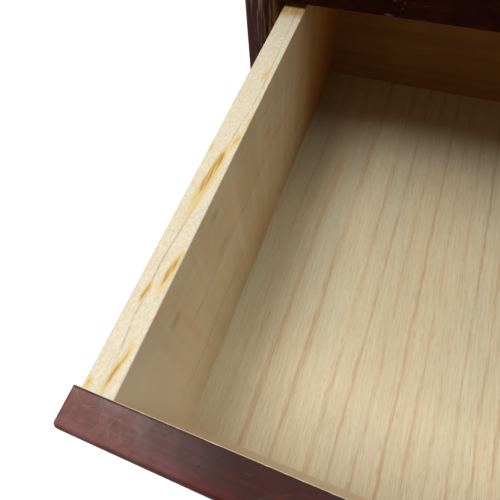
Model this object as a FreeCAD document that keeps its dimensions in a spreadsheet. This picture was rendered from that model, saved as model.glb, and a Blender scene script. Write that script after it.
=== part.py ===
"""Low tea ceremony box: one deep drawer, two shallow drawers above it, and a rimmed top.

Frame: +Z up, the drawers open towards -Y, X runs along the width. The origin is the middle of the
underside of the base board. The deep drawer is modelled pulled out by open_distance; the upper
drawers are modelled closed. Sizes are millimetres.
"""
import FreeCAD, Part
import os
import re

import Sketcher
from FreeCAD import Placement, Rotation, Vector

os.makedirs("parts", exist_ok=True)
doc = FreeCAD.newDocument("tea_box")

# ---------------------------------------------------------------- driving sizes
SIZES = {
    # case
    "case_width": (380, "outside width over the two side panels"),
    "side_wall": (13.2, "thickness of the side panels"),
    "base_thick": (14, "base board"),
    "top_thick": (14, "top board"),
    "base_lip": (5, "how far the base board stands out all round"),
    "top_lip": (6, "how far the top board stands out all round"),
    "board_round": (4, "rounding of the edges of the base and top boards"),
    "back_thick": (7, "back panel"),
    "back_rebate": (6, "how far the back panel reaches into each side panel"),
    "fit_gap": (0.3, "gap left round a panel in its rebate"),
    "chamfer_wide": (4.6, "chamfer on the inner front edge of each side panel"),
    "front_reveal": (2, "depth of that chamfer, and setback of rails and closed fronts"),
    "post_round": (1, "rounding of the outer corners of the side panels"),
    "shelf_thick": (14, "middle rail and shelf"),
    "rail_depth": (24, "lacquered rail in front of the shelf"),
    "divider_thick": (12, "upright between the two upper drawers"),
    "arris_round": (0.5, "small rounding on edges that hands touch"),
    # deep drawer
    "deep_height": (93.3, "inside height of the deep drawer, floor to top edge"),
    "inner_depth": (253, "inside depth of every drawer"),
    "drawer_wall": (10, "sides and back of the deep drawer"),
    "front_thick": (11, "drawer fronts"),
    "front_round": (1.6, "rounding round the outer face of a drawer front"),
    "side_gap": (4.4, "side of the deep drawer to the side panel"),
    "front_lap": (2.1, "how far the deep front reaches past the drawer's sides"),
    "floor_thick": (5, "floor panel of the deep drawer"),
    "floor_lap": (5, "how far a floor panel reaches under a side"),
    "foot_gap": (1.5, "under each drawer front"),
    "deep_top_gap": (2.3, "over the deep drawer, under the middle rail"),
    "open_distance": (181, "how far the deep drawer is pulled out"),
    # what carries and steers the deep drawer
    "runner_wide": (14, "runner from the side panel in under the deep drawer's side"),
    "runner_high": (3, "height of the runners"),
    "slide_gap": (0.3, "running gap of a drawer on its runner or shelf"),
    "guide_high": (14, "guide strip beside each side of the deep drawer"),
    "guide_gap": (0.4, "running gap beside a guide strip"),
    "stop_wide": (18, "width and height of a stop block"),
    "stop_thick": (4.5, "thickness of the stop blocks of the deep drawer"),
    "stop_inset": (50, "drawer side to its stop block"),
    "stop_gap": (0.5, "closed drawer to its stop block"),
    # upper drawers
    "upper_height": (38, "inside height of the upper drawers"),
    "upper_wall": (8, "sides and backs of the upper drawers"),
    "upper_floor": (4, "floor panels of the upper drawers"),
    "upper_side_gap": (1.4, "side of an upper drawer to the case"),
    "upper_front_lap": (0.7, "how far an upper front reaches past its sides"),
    "upper_top_gap": (1.4, "over the upper drawers, under the top board"),
    # rim round the top
    "rim_thick": (8, "strips of the rim"),
    "rim_high": (12, "height of the rim over the top board"),
    "rim_inset": (7, "rim to the edge of the top board"),
    "rim_round": (2, "rounding of the upper edges of the rim"),
    # ring pulls
    "deep_pull_span": (144, "between the two pulls of the deep drawer"),
    "deep_pull_drop": (40, "top edge of the deep front to its pulls"),
    "deep_ring": (15, "radius of the deep drawer's rings, to the middle of the wire"),
    "deep_wire": (1.9, "radius of the wire of those rings"),
    "deep_plate": (19, "radius of their back plates"),
    "upper_pull_drop": (17, "top edge of an upper front to its pull"),
    "upper_ring": (10.5, "radius of the upper drawers' rings"),
    "upper_wire": (1.5, "radius of the wire of those rings"),
    "upper_plate": (13, "radius of their back plates"),
    "plate_thick": (1.2, "thickness of a back plate"),
    "boss_high": (1, "raised middle of a back plate"),
    "boss_round": (5, "radius of that raised middle"),
    "eye_gap": (0.4, "ring wire to the hole of its eye"),
    "eye_wall": (2, "metal round that hole"),
    "eye_wide": (4.6, "length of the eye along the wire"),
    "eye_stand": (0.3, "eye to the boss of the plate"),
    "shank_round": (2.2, "radius of the shank through the drawer front"),
    "shank_gap": (0.05, "shank to its hole"),
    "washer_thick": (0.8, "inner washer"),
    "washer_round": (7, "radius of the inner washer"),
    "leg_long": (10, "bent leg of the shank, from its axis"),
    "leg_wide": (2.8, "width of a bent leg"),
    "leg_thick": (1, "thickness of a bent leg"),
    # dowels and pegs
    "dowel_round": (2.5, "radius of the hidden dowels"),
    "dowel_reach": (7, "how far a dowel reaches into each board"),
    "dowel_margin": (35, "end of a side panel to its first dowel"),
    "peg_margin": (9, "edge of a drawer side to its first dowel or peg"),
    "peg_round": (1.5, "radius of the pegs through the drawer sides"),
    "peg_reach": (14, "how far a peg reaches into the drawer back"),
    "bore_gap": (0.05, "dowel or peg to its hole"),
}

# ---------------------------------------------------------------- what follows from them
PLACES = {
    "stop_depth": "stop_gap + stop_thick + back_thick",
    "case_depth": "front_reveal + front_thick + inner_depth + drawer_wall + stop_depth",
    "bay_width": "case_width - 2 * side_wall",
    "case_front": "-case_depth / 2",
    "rail_front": "case_front + front_reveal",
    "back_face": "case_depth / 2 - back_thick",
    "bay_left": "-bay_width / 2",
    "deep_bottom": "base_thick + runner_high + slide_gap",
    "deep_floor_top": "deep_bottom + floor_thick",
    "deep_top": "deep_floor_top + deep_height",
    "shelf_bottom": "deep_top + deep_top_gap",
    "shelf_top": "shelf_bottom + shelf_thick",
    "upper_bottom": "shelf_top + slide_gap",
    "upper_floor_top": "upper_bottom + upper_floor",
    "upper_top": "upper_floor_top + upper_height",
    "top_bottom": "upper_top + upper_top_gap",
    "top_face": "top_bottom + top_thick",
    "panel_high": "top_bottom - base_thick",
    "closed_inside": "rail_front + front_thick",
    "closed_rear": "closed_inside + inner_depth",
    "deep_front_face": "rail_front - open_distance",
    "deep_inside": "deep_front_face + front_thick",
    "deep_wide": "bay_width - 2 * side_gap",
    "upper_bay": "(bay_width - divider_thick) / 2",
    "upper_wide": "upper_bay - 2 * upper_side_gap",
    "rim_long": "case_width + 2 * top_lip - 2 * rim_inset",
    "rim_across": "case_depth + 2 * top_lip - 2 * rim_inset",
}


def formula(text):
    """An expression of the document from words of SIZES and PLACES."""

    def widen(match):
        word = match.group()
        if word in PLACES:
            return "(" + formula(PLACES[word]) + ")"
        return "Sizes." + word

    return re.sub(r"[a-z]+(_[a-z]+)+", widen, text)


def fill_sheet():
    sheet = doc.addObject("Spreadsheet::Sheet", "Sizes")
    for row, (alias, (number, note)) in enumerate(SIZES.items(), start=1):
        sheet.set(f"A{row}", note)
        sheet.set(f"B{row}", str(number))
        sheet.setAlias(f"B{row}", alias)
    doc.recompute()


# ---------------------------------------------------------------- ways of making a piece
pieces = {}


def bind(thing, **formulas):
    for prop, text in formulas.items():
        thing.setExpression(prop, formula(text))
    return thing


def put(thing, spot, turn=None):
    """Binds a thing's place to three formulas, with an optional fixed turn."""
    if turn:
        thing.Placement = Placement(Vector(), Rotation(*turn))
    for axis, text in zip("xyz", spot):
        thing.setExpression(f".Placement.Base.{axis}", formula(text))
    return thing


def keep(label, thing):
    thing.Label = label
    pieces[label] = thing
    return thing


def outline(body, name, points, plane="XY_Plane"):
    """A closed sketch whose corners are bound to formulas; "0" is a corner on an axis."""
    sketch = body.newObject("Sketcher::SketchObject", name)
    role = [item for item in body.Origin.OriginFeatures if item.Role == plane]
    sketch.AttachmentSupport = [(role[0], "")]
    sketch.MapMode = "FlatFace"
    count = len(points)
    start = [Rotation(Vector(0, 0, 1), 360 * i / count).multVec(Vector(50, 0, 0)) for i in range(count)]
    start = [corner + Vector(60, 60, 0) for corner in start]
    for i in range(count):
        sketch.addGeometry(Part.LineSegment(start[i], start[(i + 1) % count]), False)
    for i in range(count):
        sketch.addConstraint(Sketcher.Constraint("Coincident", i, 2, (i + 1) % count, 1))
    for i, (across, along) in enumerate(points):
        for kind, text, axis_line, number in (
            ("DistanceX", across, -2, start[i].x),
            ("DistanceY", along, -1, start[i].y),
        ):
            if text == "0":
                sketch.addConstraint(Sketcher.Constraint("PointOnObject", i, 1, axis_line))
                continue
            index = sketch.addConstraint(Sketcher.Constraint(kind, -1, 1, i, 1, number))
            title = f"{kind}_{i}"
            sketch.renameConstraint(index, title)
            sketch.setExpression(f"Constraints.{title}", formula(text))
    return sketch


def slab(name, points, high):
    """A body with one padded outline, its underside on the body's own XY plane."""
    body = doc.addObject("PartDesign::Body", name)
    sketch = outline(body, name + "_outline", points)
    pad = body.newObject("PartDesign::Pad", name + "_pad")
    pad.Profile = sketch
    bind(pad, Length=high)
    return body


def rectangle(wide, deep):
    return [("0", "0"), (wide, "0"), (wide, deep), ("0", deep)]


def soften(body, radius, wanted):
    """Rounds the edges of the body that the function wanted picks out."""
    doc.recompute()
    base = body.Tip
    box = base.Shape.BoundBox
    names = [f"Edge{i}" for i, edge in enumerate(base.Shape.Edges, start=1) if wanted(edge, box)]
    fillet = body.newObject("PartDesign::Fillet", body.Name + "_round")
    fillet.Base = (base, names)
    bind(fillet, Radius=radius)
    base.Visibility = False
    return body


NEAR = 1e-4


def on_top(edge, box):
    return all(abs(point.Point.z - box.ZMax) < NEAR for point in edge.Vertexes)


def on_top_or_bottom(edge, box):
    return on_top(edge, box) or all(abs(point.Point.z - box.ZMin) < NEAR for point in edge.Vertexes)


def on_outer_face(edge, box):
    return all(abs(point.Point.y - box.YMin) < NEAR for point in edge.Vertexes)


def long_on_top(edge, box):
    """The two long top edges of a board that runs front to back."""
    ends = [point.Point for point in edge.Vertexes]
    return on_top(edge, box) and abs(ends[0].x - ends[1].x) < NEAR


def wide_on_top(edge, box):
    """The two long top edges of a board that runs from side to side."""
    ends = [point.Point for point in edge.Vertexes]
    return on_top(edge, box) and abs(ends[0].y - ends[1].y) < NEAR


def upright_at(edge, across):
    """Upright edges at one distance across."""
    ends = [point.Point for point in edge.Vertexes]
    upright = abs(ends[0].x - ends[1].x) < NEAR and abs(ends[0].y - ends[1].y) < NEAR
    return upright and abs(ends[0].x - across) < NEAR


def every_edge(edge, box):
    return True


def rods(name, radius, long, spots, turn):
    """A compound of equal cylinders, one at each spot."""
    made = []
    for i, spot in enumerate(spots, start=1):
        rod = doc.addObject("Part::Cylinder", f"{name}_{i}")
        bind(rod, Radius=radius, Height=long)
        made.append(put(rod, spot, turn))
    group = doc.addObject("Part::Compound", name)
    group.Links = made
    return group


def cut(name, base, tools):
    """A piece with tools taken out of it, one after the other."""
    for i, tool in enumerate(tools, start=1):
        taken = doc.addObject("Part::Cut", f"{name}_cut_{i}")
        taken.Base = base
        taken.Tool = tool
        base = taken
    return base


ALONG_X = (Vector(0, 1, 0), 90)
ALONG_Y = (Vector(1, 0, 0), -90)
UPRIGHT = (Vector(0, 0, 1), 0)


# ---------------------------------------------------------------- case
def case_dowel_spots(level):
    """Three dowels in each end of each side panel, at one level."""
    return [
        (f"{side} * (case_width - side_wall) / 2", f"{row} * (case_depth / 2 - dowel_margin)", level)
        for side in (-1, 1)
        for row in (-1, 0, 1)
    ]


def make_case():
    low = "base_thick - dowel_reach"
    high = "top_bottom - dowel_reach"
    spots = case_dowel_spots(low) + case_dowel_spots(high)
    holes = rods("case_dowel_holes", "dowel_round + bore_gap", "2 * dowel_reach", spots, UPRIGHT)
    keep("case_dowels", rods("case_dowels", "dowel_round", "2 * dowel_reach", spots, UPRIGHT))

    base_plan = rectangle("case_width + 2 * base_lip", "case_depth + 2 * base_lip")
    base = slab("base_board_body", base_plan, "base_thick")
    soften(base, "board_round", every_edge)
    put(base, ("-case_width / 2 - base_lip", "case_front - base_lip", "0"))
    keep("base_board", cut("base_board", base, [holes]))

    top_plan = rectangle("case_width + 2 * top_lip", "case_depth + 2 * top_lip")
    top = slab("top_board_body", top_plan, "top_thick")
    soften(top, "board_round", every_edge)
    put(top, ("-case_width / 2 - top_lip", "case_front - top_lip", "top_bottom"))
    keep("top_board", cut("top_board", top, [holes]))

    # plan of a side panel, outer face first: chamfer at the front, rebate for the back panel
    chamfer = [("side_wall - chamfer_wide", "0"), ("side_wall", "front_reveal")]
    rebate = [
        ("side_wall", "case_depth - back_thick"),
        ("side_wall - back_rebate", "case_depth - back_thick"),
        ("side_wall - back_rebate", "case_depth"),
    ]
    left_plan = [("0", "0")] + chamfer + rebate + [("0", "case_depth")]
    left = slab("case_side_left_body", left_plan, "panel_high")
    soften(left, "post_round", lambda edge, box: upright_at(edge, box.XMin))
    put(left, ("-case_width / 2", "case_front", "base_thick"))
    keep("case_side_left", cut("case_side_left", left, [holes]))

    right_plan = [
        ("side_wall", "0"),
        ("side_wall", "case_depth"),
        ("back_rebate", "case_depth"),
        ("back_rebate", "case_depth - back_thick"),
        ("0", "case_depth - back_thick"),
        ("0", "front_reveal"),
        ("chamfer_wide", "0"),
    ]
    right = slab("case_side_right_body", right_plan, "panel_high")
    soften(right, "post_round", lambda edge, box: upright_at(edge, box.XMax))
    put(right, ("case_width / 2 - side_wall", "case_front", "base_thick"))
    keep("case_side_right", cut("case_side_right", right, [holes]))

    back_wide = "bay_width + 2 * back_rebate - 2 * fit_gap"
    back = slab("back_panel", rectangle(back_wide, "back_thick"), "panel_high")
    put(back, ("bay_left - back_rebate + fit_gap", "back_face", "base_thick"))
    keep("back_panel", back)

    rail = slab("middle_rail", rectangle("bay_width", "rail_depth"), "shelf_thick")
    soften(rail, "arris_round", lambda edge, box: on_outer_face(edge, box) and on_top_or_bottom(edge, box))
    put(rail, ("bay_left", "rail_front", "shelf_bottom"))
    keep("middle_rail", rail)

    shelf = slab("middle_shelf", rectangle("bay_width", "back_face - rail_front - rail_depth"), "shelf_thick")
    put(shelf, ("bay_left", "rail_front + rail_depth", "shelf_bottom"))
    keep("middle_shelf", shelf)

    divider_plan = rectangle("divider_thick", "back_face - rail_front")
    divider = slab("upper_divider", divider_plan, "top_bottom - shelf_top")
    put(divider, ("-divider_thick / 2", "rail_front", "shelf_top"))
    keep("upper_divider", divider)


def make_drawer_ways():
    """Runners and guides of the deep drawer, and the blocks that stop each closed drawer."""
    start = "closed_inside + stop_gap"
    long = "back_face - closed_inside - stop_gap"
    guide_thick = "side_gap - guide_gap"
    for side, runner_left, guide_left in (
        ("left", "bay_left", "bay_left"),
        ("right", "-bay_left - runner_wide", "-bay_left - side_gap + guide_gap"),
    ):
        runner = slab(f"runner_{side}", rectangle("runner_wide", long), "runner_high")
        put(runner, (runner_left, start, "base_thick"))
        keep(f"runner_{side}", runner)
        guide = slab(f"guide_{side}", rectangle(guide_thick, long), "guide_high")
        soften(guide, "arris_round", long_on_top)
        put(guide, (guide_left, start, "base_thick + runner_high"))
        keep(f"guide_{side}", guide)

    from_middle = "deep_wide / 2 - stop_inset"
    make_stops("deep_drawer_stops", from_middle, "drawer_wall", "base_thick")
    from_middle = "divider_thick / 2 + stop_inset"
    make_stops("upper_drawer_stops", from_middle, "upper_wall", "shelf_top")


def make_stops(label, from_middle, wall, level):
    """Two blocks glued in front of the back panel, as far to the left as to the right."""
    blocks = []
    for i, side in enumerate((-1, 1), start=1):
        left = f"{side} * ({from_middle}) - stop_wide / 2"
        block = doc.addObject("Part::Box", f"{label}_{i}")
        face = f"closed_rear + {wall} + stop_gap"
        bind(block, Length="stop_wide", Width=f"back_face - ({face})", Height="stop_wide")
        blocks.append(put(block, (left, face, level)))
    group = doc.addObject("Part::Compound", label)
    group.Links = blocks
    keep(label, group)


def make_rim():
    """Four mitred strips that make a shallow tray of the top board."""
    long = "rim_long"
    across = "rim_across"
    thick = "rim_thick"
    plans = {
        "front": [("0", "0"), (long, "0"), (f"{long} - {thick}", thick), (thick, thick)],
        "back": [(thick, "0"), (f"{long} - {thick}", "0"), (long, thick), ("0", thick)],
        "left": [("0", "0"), (thick, thick), (thick, f"{across} - {thick}"), ("0", across)],
        "right": [(thick, "0"), (thick, across), ("0", f"{across} - {thick}"), ("0", thick)],
    }
    left = "-rim_long / 2"
    front = "-rim_across / 2"
    corners = {
        "front": (left, front),
        "back": (left, "rim_across / 2 - rim_thick"),
        "left": (left, front),
        "right": ("rim_long / 2 - rim_thick", front),
    }
    for side, plan in plans.items():
        strip = slab(f"rim_{side}", plan, "rim_high")
        soften(strip, "rim_round", wide_on_top if side in ("front", "back") else long_on_top)
        put(strip, (*corners[side], "top_face"))
        keep(f"rim_{side}", strip)


# ---------------------------------------------------------------- ring pulls
def turned(name, profile):
    """A body turned about its Y axis from a profile of (radius, along) corners."""
    body = doc.addObject("PartDesign::Body", name)
    sketch = outline(body, name + "_profile", profile)
    turn = body.newObject("PartDesign::Revolution", name + "_turn")
    turn.Profile = sketch
    turn.ReferenceAxis = (sketch, ["V_Axis"])
    turn.Angle = 360
    return body


def make_pull(prefix, size, across, face, level):
    """One ring pull. Returns the hole that its shank needs in the drawer front."""
    ring_round, wire, plate_round = f"{size}_ring", f"{size}_wire", f"{size}_plate"
    hole = "shank_round + shank_gap"
    front_of_boss = f"{face} - boss_high - plate_thick"
    eye_round = f"({wire} + eye_gap + eye_wall)"
    eye_middle = f"{front_of_boss} - eye_stand - {eye_round}"
    inside = f"{face} + front_thick"

    plate = turned(f"{prefix}_plate", [
        (hole, "0"),
        ("boss_round", "0"),
        ("boss_round + boss_high", "boss_high"),
        (f"{plate_round} - plate_thick", "boss_high"),
        (plate_round, "boss_high + plate_thick / 2"),
        (plate_round, "boss_high + plate_thick"),
        (hole, "boss_high + plate_thick"),
    ])
    keep(f"{prefix}_plate", put(plate, (across, front_of_boss, level)))

    washer = turned(f"{prefix}_washer", [
        (hole, "0"),
        ("washer_round", "0"),
        ("washer_round", "washer_thick"),
        (hole, "washer_thick"),
    ])
    keep(f"{prefix}_washer", put(washer, (across, inside, level)))

    eye = doc.addObject("Part::Cylinder", f"{prefix}_eye")
    bind(eye, Radius=eye_round, Height="eye_wide")
    put(eye, (f"{across} - eye_wide / 2", eye_middle, level), ALONG_X)
    shank = doc.addObject("Part::Cylinder", f"{prefix}_shank")
    shank_long = f"{inside} + washer_thick + leg_thick - ({eye_middle})"
    bind(shank, Radius="shank_round", Height=shank_long)
    put(shank, (across, eye_middle, level), ALONG_Y)
    legs = doc.addObject("Part::Box", f"{prefix}_legs")
    bind(legs, Length="leg_wide", Width="leg_thick", Height="2 * leg_long")
    leg_face = f"{inside} + washer_thick"
    put(legs, (f"{across} - leg_wide / 2", leg_face, f"{level} - leg_long"))
    whole = doc.addObject("Part::MultiFuse", f"{prefix}_post_whole")
    whole.Shapes = [eye, shank, legs]
    eye_hole = doc.addObject("Part::Cylinder", f"{prefix}_eye_hole")
    bind(eye_hole, Radius=f"{wire} + eye_gap", Height="3 * eye_wide")
    put(eye_hole, (f"{across} - 1.5 * eye_wide", eye_middle, level), ALONG_X)
    keep(f"{prefix}_post", cut(f"{prefix}_post", whole, [eye_hole]))

    ring = doc.addObject("Part::Torus", f"{prefix}_ring")
    bind(ring, Radius1=ring_round, Radius2=wire)
    keep(f"{prefix}_ring", put(ring, (across, eye_middle, f"{level} - {ring_round}"), ALONG_Y))

    shank_hole = doc.addObject("Part::Cylinder", f"{prefix}_shank_hole")
    bind(shank_hole, Radius=hole, Height="3 * front_thick")
    return put(shank_hole, (across, f"{face} - front_thick", level), ALONG_Y)


# ---------------------------------------------------------------- drawers
def make_drawer(prefix, left, wide, face, levels, wall, floor, lap, pulls):
    """One drawer. levels are its underside, floor top, top edge and the front's lower edge."""
    bottom, floor_top, top, foot = levels
    inside = f"({face} + front_thick)"
    right = f"({left} + {wide})"
    rear = f"({inside} + inner_depth)"
    inner_high = f"({top} - {floor_top})"
    peg_levels = (f"{floor_top} + peg_margin", f"({floor_top} + {top}) / 2", f"{top} - peg_margin")

    dowel_spots = [
        (across, f"{inside} - dowel_reach", level)
        for across in (f"{left} + {wall} / 2", f"{right} - {wall} / 2")
        for level in peg_levels
    ]
    hole, long = "dowel_round + bore_gap", "2 * dowel_reach"
    dowel_holes = rods(f"{prefix}_dowel_holes", hole, long, dowel_spots, ALONG_Y)
    dowels = rods(f"{prefix}_front_dowels", "dowel_round", long, dowel_spots, ALONG_Y)
    keep(f"{prefix}_front_dowels", dowels)

    peg_spots = [
        (across, f"{rear} + {wall} / 2", level)
        for across in (left, f"{right} - {wall} - peg_reach")
        for level in peg_levels
    ]
    hole, long = "peg_round + bore_gap", f"{wall} + peg_reach"
    peg_holes = rods(f"{prefix}_peg_holes", hole, long, peg_spots, ALONG_X)
    keep(f"{prefix}_pegs", rods(f"{prefix}_pegs", "peg_round", long, peg_spots, ALONG_X))

    shank_holes = [make_pull(name, size, across, face, level) for name, size, across, level in pulls]
    front = slab(f"{prefix}_front_body", rectangle(f"{wide} + 2 * {lap}", "front_thick"), f"{top} - {foot}")
    soften(front, "front_round", on_outer_face)
    put(front, (f"{left} - {lap}", face, foot))
    keep(f"{prefix}_front", cut(f"{prefix}_front", front, [dowel_holes] + shank_holes))

    for side, corner in (("left", left), ("right", f"{right} - {wall}")):
        plan = rectangle(wall, f"inner_depth + {wall}")
        board = slab(f"{prefix}_side_{side}_body", plan, f"{top} - {bottom}")
        rebate = board.newObject("PartDesign::SubtractiveBox", f"{prefix}_{side}_rebate")
        bind(rebate, Length="floor_lap", Width=f"inner_depth + {wall}", Height=floor)
        if side == "left":
            rebate.setExpression(".Placement.Base.x", formula(f"{wall} - floor_lap"))
        soften(board, "arris_round", long_on_top)
        put(board, (corner, inside, bottom))
        keep(f"{prefix}_side_{side}", cut(f"{prefix}_side_{side}", board, [dowel_holes, peg_holes]))

    back = slab(f"{prefix}_back_body", rectangle(f"{wide} - 2 * {wall}", wall), inner_high)
    soften(back, "arris_round", wide_on_top)
    put(back, (f"{left} + {wall}", rear, floor_top))
    keep(f"{prefix}_back", cut(f"{prefix}_back", back, [peg_holes]))

    floor_wide = f"{wide} - 2 * {wall} + 2 * floor_lap - 2 * fit_gap"
    panel = slab(f"{prefix}_floor", rectangle(floor_wide, f"inner_depth + {wall}"), floor)
    put(panel, (f"{left} + {wall} - floor_lap + fit_gap", inside, bottom))
    keep(f"{prefix}_floor", panel)


def make_drawers():
    pull_level = "deep_top - deep_pull_drop"
    make_drawer(
        "deep",
        left="(bay_left + side_gap)",
        wide="deep_wide",
        face="deep_front_face",
        levels=("deep_bottom", "deep_floor_top", "deep_top", "(base_thick + foot_gap)"),
        wall="drawer_wall",
        floor="floor_thick",
        lap="front_lap",
        pulls=[
            ("deep_pull_left", "deep", "-deep_pull_span / 2", pull_level),
            ("deep_pull_right", "deep", "deep_pull_span / 2", pull_level),
        ],
    )
    for prefix, left in (
        ("upper_left", "(bay_left + upper_side_gap)"),
        ("upper_right", "(divider_thick / 2 + upper_side_gap)"),
    ):
        make_drawer(
            prefix,
            left=left,
            wide="upper_wide",
            face="rail_front",
            levels=("upper_bottom", "upper_floor_top", "upper_top", "(shelf_top + foot_gap)"),
            wall="upper_wall",
            floor="upper_floor",
            lap="upper_front_lap",
            pulls=[(f"{prefix}_pull", "upper", f"{left} + upper_wide / 2", "upper_top - upper_pull_drop")],
        )


# ---------------------------------------------------------------- build, test and write
def export():
    doc.recompute()
    broken = [item.Name for item in doc.Objects if {"Invalid", "Error"} & set(item.State)]
    if broken:
        raise SystemExit(f"failed objects: {broken}")
    for label, piece in pieces.items():
        shape = piece.Shape
        if shape.isNull() or not shape.isValid() or not shape.Solids:
            raise SystemExit(f"bad shape: {label}")
        shape.exportStep(f"parts/{label}.step")
        print(f"{label}: {len(shape.Solids)} solid(s), {shape.Volume / 1000:.2f} cm3")
    print(len(pieces), "pieces")


fill_sheet()
make_case()
make_drawer_ways()
make_rim()
make_drawers()
export()
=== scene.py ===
# %% [markdown]
# # A lacquered box of drawers, pulled open
#
# This box holds the small things of a tea gathering. Its case and drawer fronts wear an old
# red-brown lacquer, and its drawers are plain pale wood inside. The big lower drawer stands
# open, and the two small ones above it are closed.
#
# The boards, pegs and pulls come from a measured model, at real size. This lesson gives them
# their finishes: planed wood with growth lines, resin stains, worn lacquer and dull brass.

# %% Load the measured pieces
import math
import random

import bmesh
import bpy
from mathutils import Matrix, Vector


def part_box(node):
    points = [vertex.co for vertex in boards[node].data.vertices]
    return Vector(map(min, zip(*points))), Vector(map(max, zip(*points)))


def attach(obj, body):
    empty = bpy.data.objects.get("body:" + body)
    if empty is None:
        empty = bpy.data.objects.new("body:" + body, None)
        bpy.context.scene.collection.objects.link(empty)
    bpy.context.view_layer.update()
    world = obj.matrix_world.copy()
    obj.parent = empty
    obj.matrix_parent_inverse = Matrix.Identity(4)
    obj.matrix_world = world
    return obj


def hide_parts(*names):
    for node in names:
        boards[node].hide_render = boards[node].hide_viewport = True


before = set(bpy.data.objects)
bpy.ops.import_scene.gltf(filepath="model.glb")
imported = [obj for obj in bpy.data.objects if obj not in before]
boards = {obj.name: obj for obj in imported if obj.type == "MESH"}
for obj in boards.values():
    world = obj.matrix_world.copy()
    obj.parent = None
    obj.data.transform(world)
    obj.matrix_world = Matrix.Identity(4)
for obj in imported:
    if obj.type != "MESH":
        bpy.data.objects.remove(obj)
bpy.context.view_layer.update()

MM = 0.001

# %% [markdown]
# ## The eye
#
# Someone leans over the open drawer and looks down into its left half, with the front at
# their waist. A wide lens this close makes near edges large and far edges small, so the place
# of the eye matters more than anything else. A lens of 28 mm on a film of 36 mm, some ten
# centimetres above the drawer, gives that steep look down.

# %% Set up the eye
EYE_PLACE = (-0.118604, -0.308699, 0.219047)
EYE_TILT_DEGREES = (27.671, 4.0, 20.353)
EYE_LENS, FILM_WIDE = 28.048, 36
NEAREST_SEEN = 0.01

eye = bpy.data.objects.new("eye", bpy.data.cameras.new("eye"))
bpy.context.scene.collection.objects.link(eye)
eye.location = EYE_PLACE
eye.rotation_euler = [math.radians(angle) for angle in EYE_TILT_DEGREES]
eye.data.lens = EYE_LENS
eye.data.sensor_width = FILM_WIDE
eye.data.clip_start = NEAREST_SEEN
bpy.context.scene.camera = eye
print("eye", round(eye.location.z / MM), "mm above the floor")

# %% [markdown]
# ## Mixing a finish
#
# A finish is a set of nodes: some make patterns from the place on the board, some turn
# patterns into colour, gloss and small hollows. Wiring them by hand takes many lines, so a
# small helper class keeps one finish together, and each of its methods adds a node and hands
# back its output. Patterns are measured in millimetres, as a maker would describe them.


# %% Colours as a paint chart gives them
def tint(red, green, blue):
    """A colour of 0 to 255 per channel, as the light values that a shader mixes."""
    shares = [channel / 255 for channel in (red, green, blue)]
    return tuple(((s + 0.055) / 1.055) ** 2.4 if s > 0.04 else s / 12.92 for s in shares) + (1.0,)


def dimmed(colour, share):
    """The same colour with only a share of its light."""
    return tuple(share * channel for channel in colour[:3]) + (1.0,)


print("a chart grey of 128 gives back", round(tint(128, 128, 128)[0], 2), "of the light")


# %% Wires and sums
class Bench:
    """The nodes of one material, with short calls for sums on what they give out."""

    def __init__(self, name):
        self.material = bpy.data.materials.new(name)
        self.material.use_nodes = True
        self.tree = self.material.node_tree
        self.shader = self.tree.nodes["Principled BSDF"]
        where = self.tree.nodes.new("ShaderNodeTexCoord")
        self.place = where.outputs["Object"]
        self.facing = where.outputs["Normal"]
        self.millimetres = self.math_on_vector("SCALE", self.place, scale=1 / MM)
        self.x, self.y, self.z = self.parts(self.millimetres)

    def feed(self, socket, value):
        """Links another node's output to a socket, or sets a plain value on it."""
        if isinstance(value, bpy.types.NodeSocket):
            self.tree.links.new(value, socket)
        else:
            socket.default_value = value

    def math_on_vector(self, kind, first, second=None, scale=None):
        """A sum on all three parts of a place at once."""
        node = self.tree.nodes.new("ShaderNodeVectorMath")
        node.operation = kind
        self.feed(node.inputs[0], first)
        if second is not None:
            self.feed(node.inputs[1], second)
        if scale is not None:
            self.feed(node.inputs["Scale"], scale)
        return node.outputs["Value"] if kind == "LENGTH" else node.outputs[0]

    def parts(self, vector):
        """The x, y and z of a place or direction, each on its own."""
        node = self.tree.nodes.new("ShaderNodeSeparateXYZ")
        self.feed(node.inputs[0], vector)
        return node.outputs[0], node.outputs[1], node.outputs[2]

    def join(self, x, y, z=0.0):
        """A place made from three numbers. Two are enough for a flat pattern."""
        node = self.tree.nodes.new("ShaderNodeCombineXYZ")
        for socket, value in zip(node.inputs, (x, y, z)):
            self.feed(socket, value)
        return node.outputs[0]

    def math(self, kind, first, second=0.0):
        """A sum on plain numbers. The five calls below name the common kinds."""
        node = self.tree.nodes.new("ShaderNodeMath")
        node.operation = kind
        self.feed(node.inputs[0], first)
        self.feed(node.inputs[1], second)
        return node.outputs[0]

    def plus(self, first, second):
        return self.math("ADD", first, second)

    def minus(self, first, second):
        return self.math("SUBTRACT", first, second)

    def times(self, first, second):
        return self.math("MULTIPLY", first, second)

    def most(self, first, second):
        return self.math("MAXIMUM", first, second)

    def least(self, first, second):
        return self.math("MINIMUM", first, second)


# %% [markdown]
# ## Clouds, steps and colours
#
# Almost every mark on old wood or lacquer is a cloud of some kind: long and thin for fibres,
# round for stains, huge for a slow change of shade. One noise node makes them all, told how
# far its patches reach each way. A soft step turns a cloud into a patch with an edge, and a
# mix lays a colour there. The numbers of a step are levels of the cloud, which lie near 0.5.

# %% A finish and its short calls
SEED_SHIFT = (3.7, 5.1, 2.3)


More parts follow.
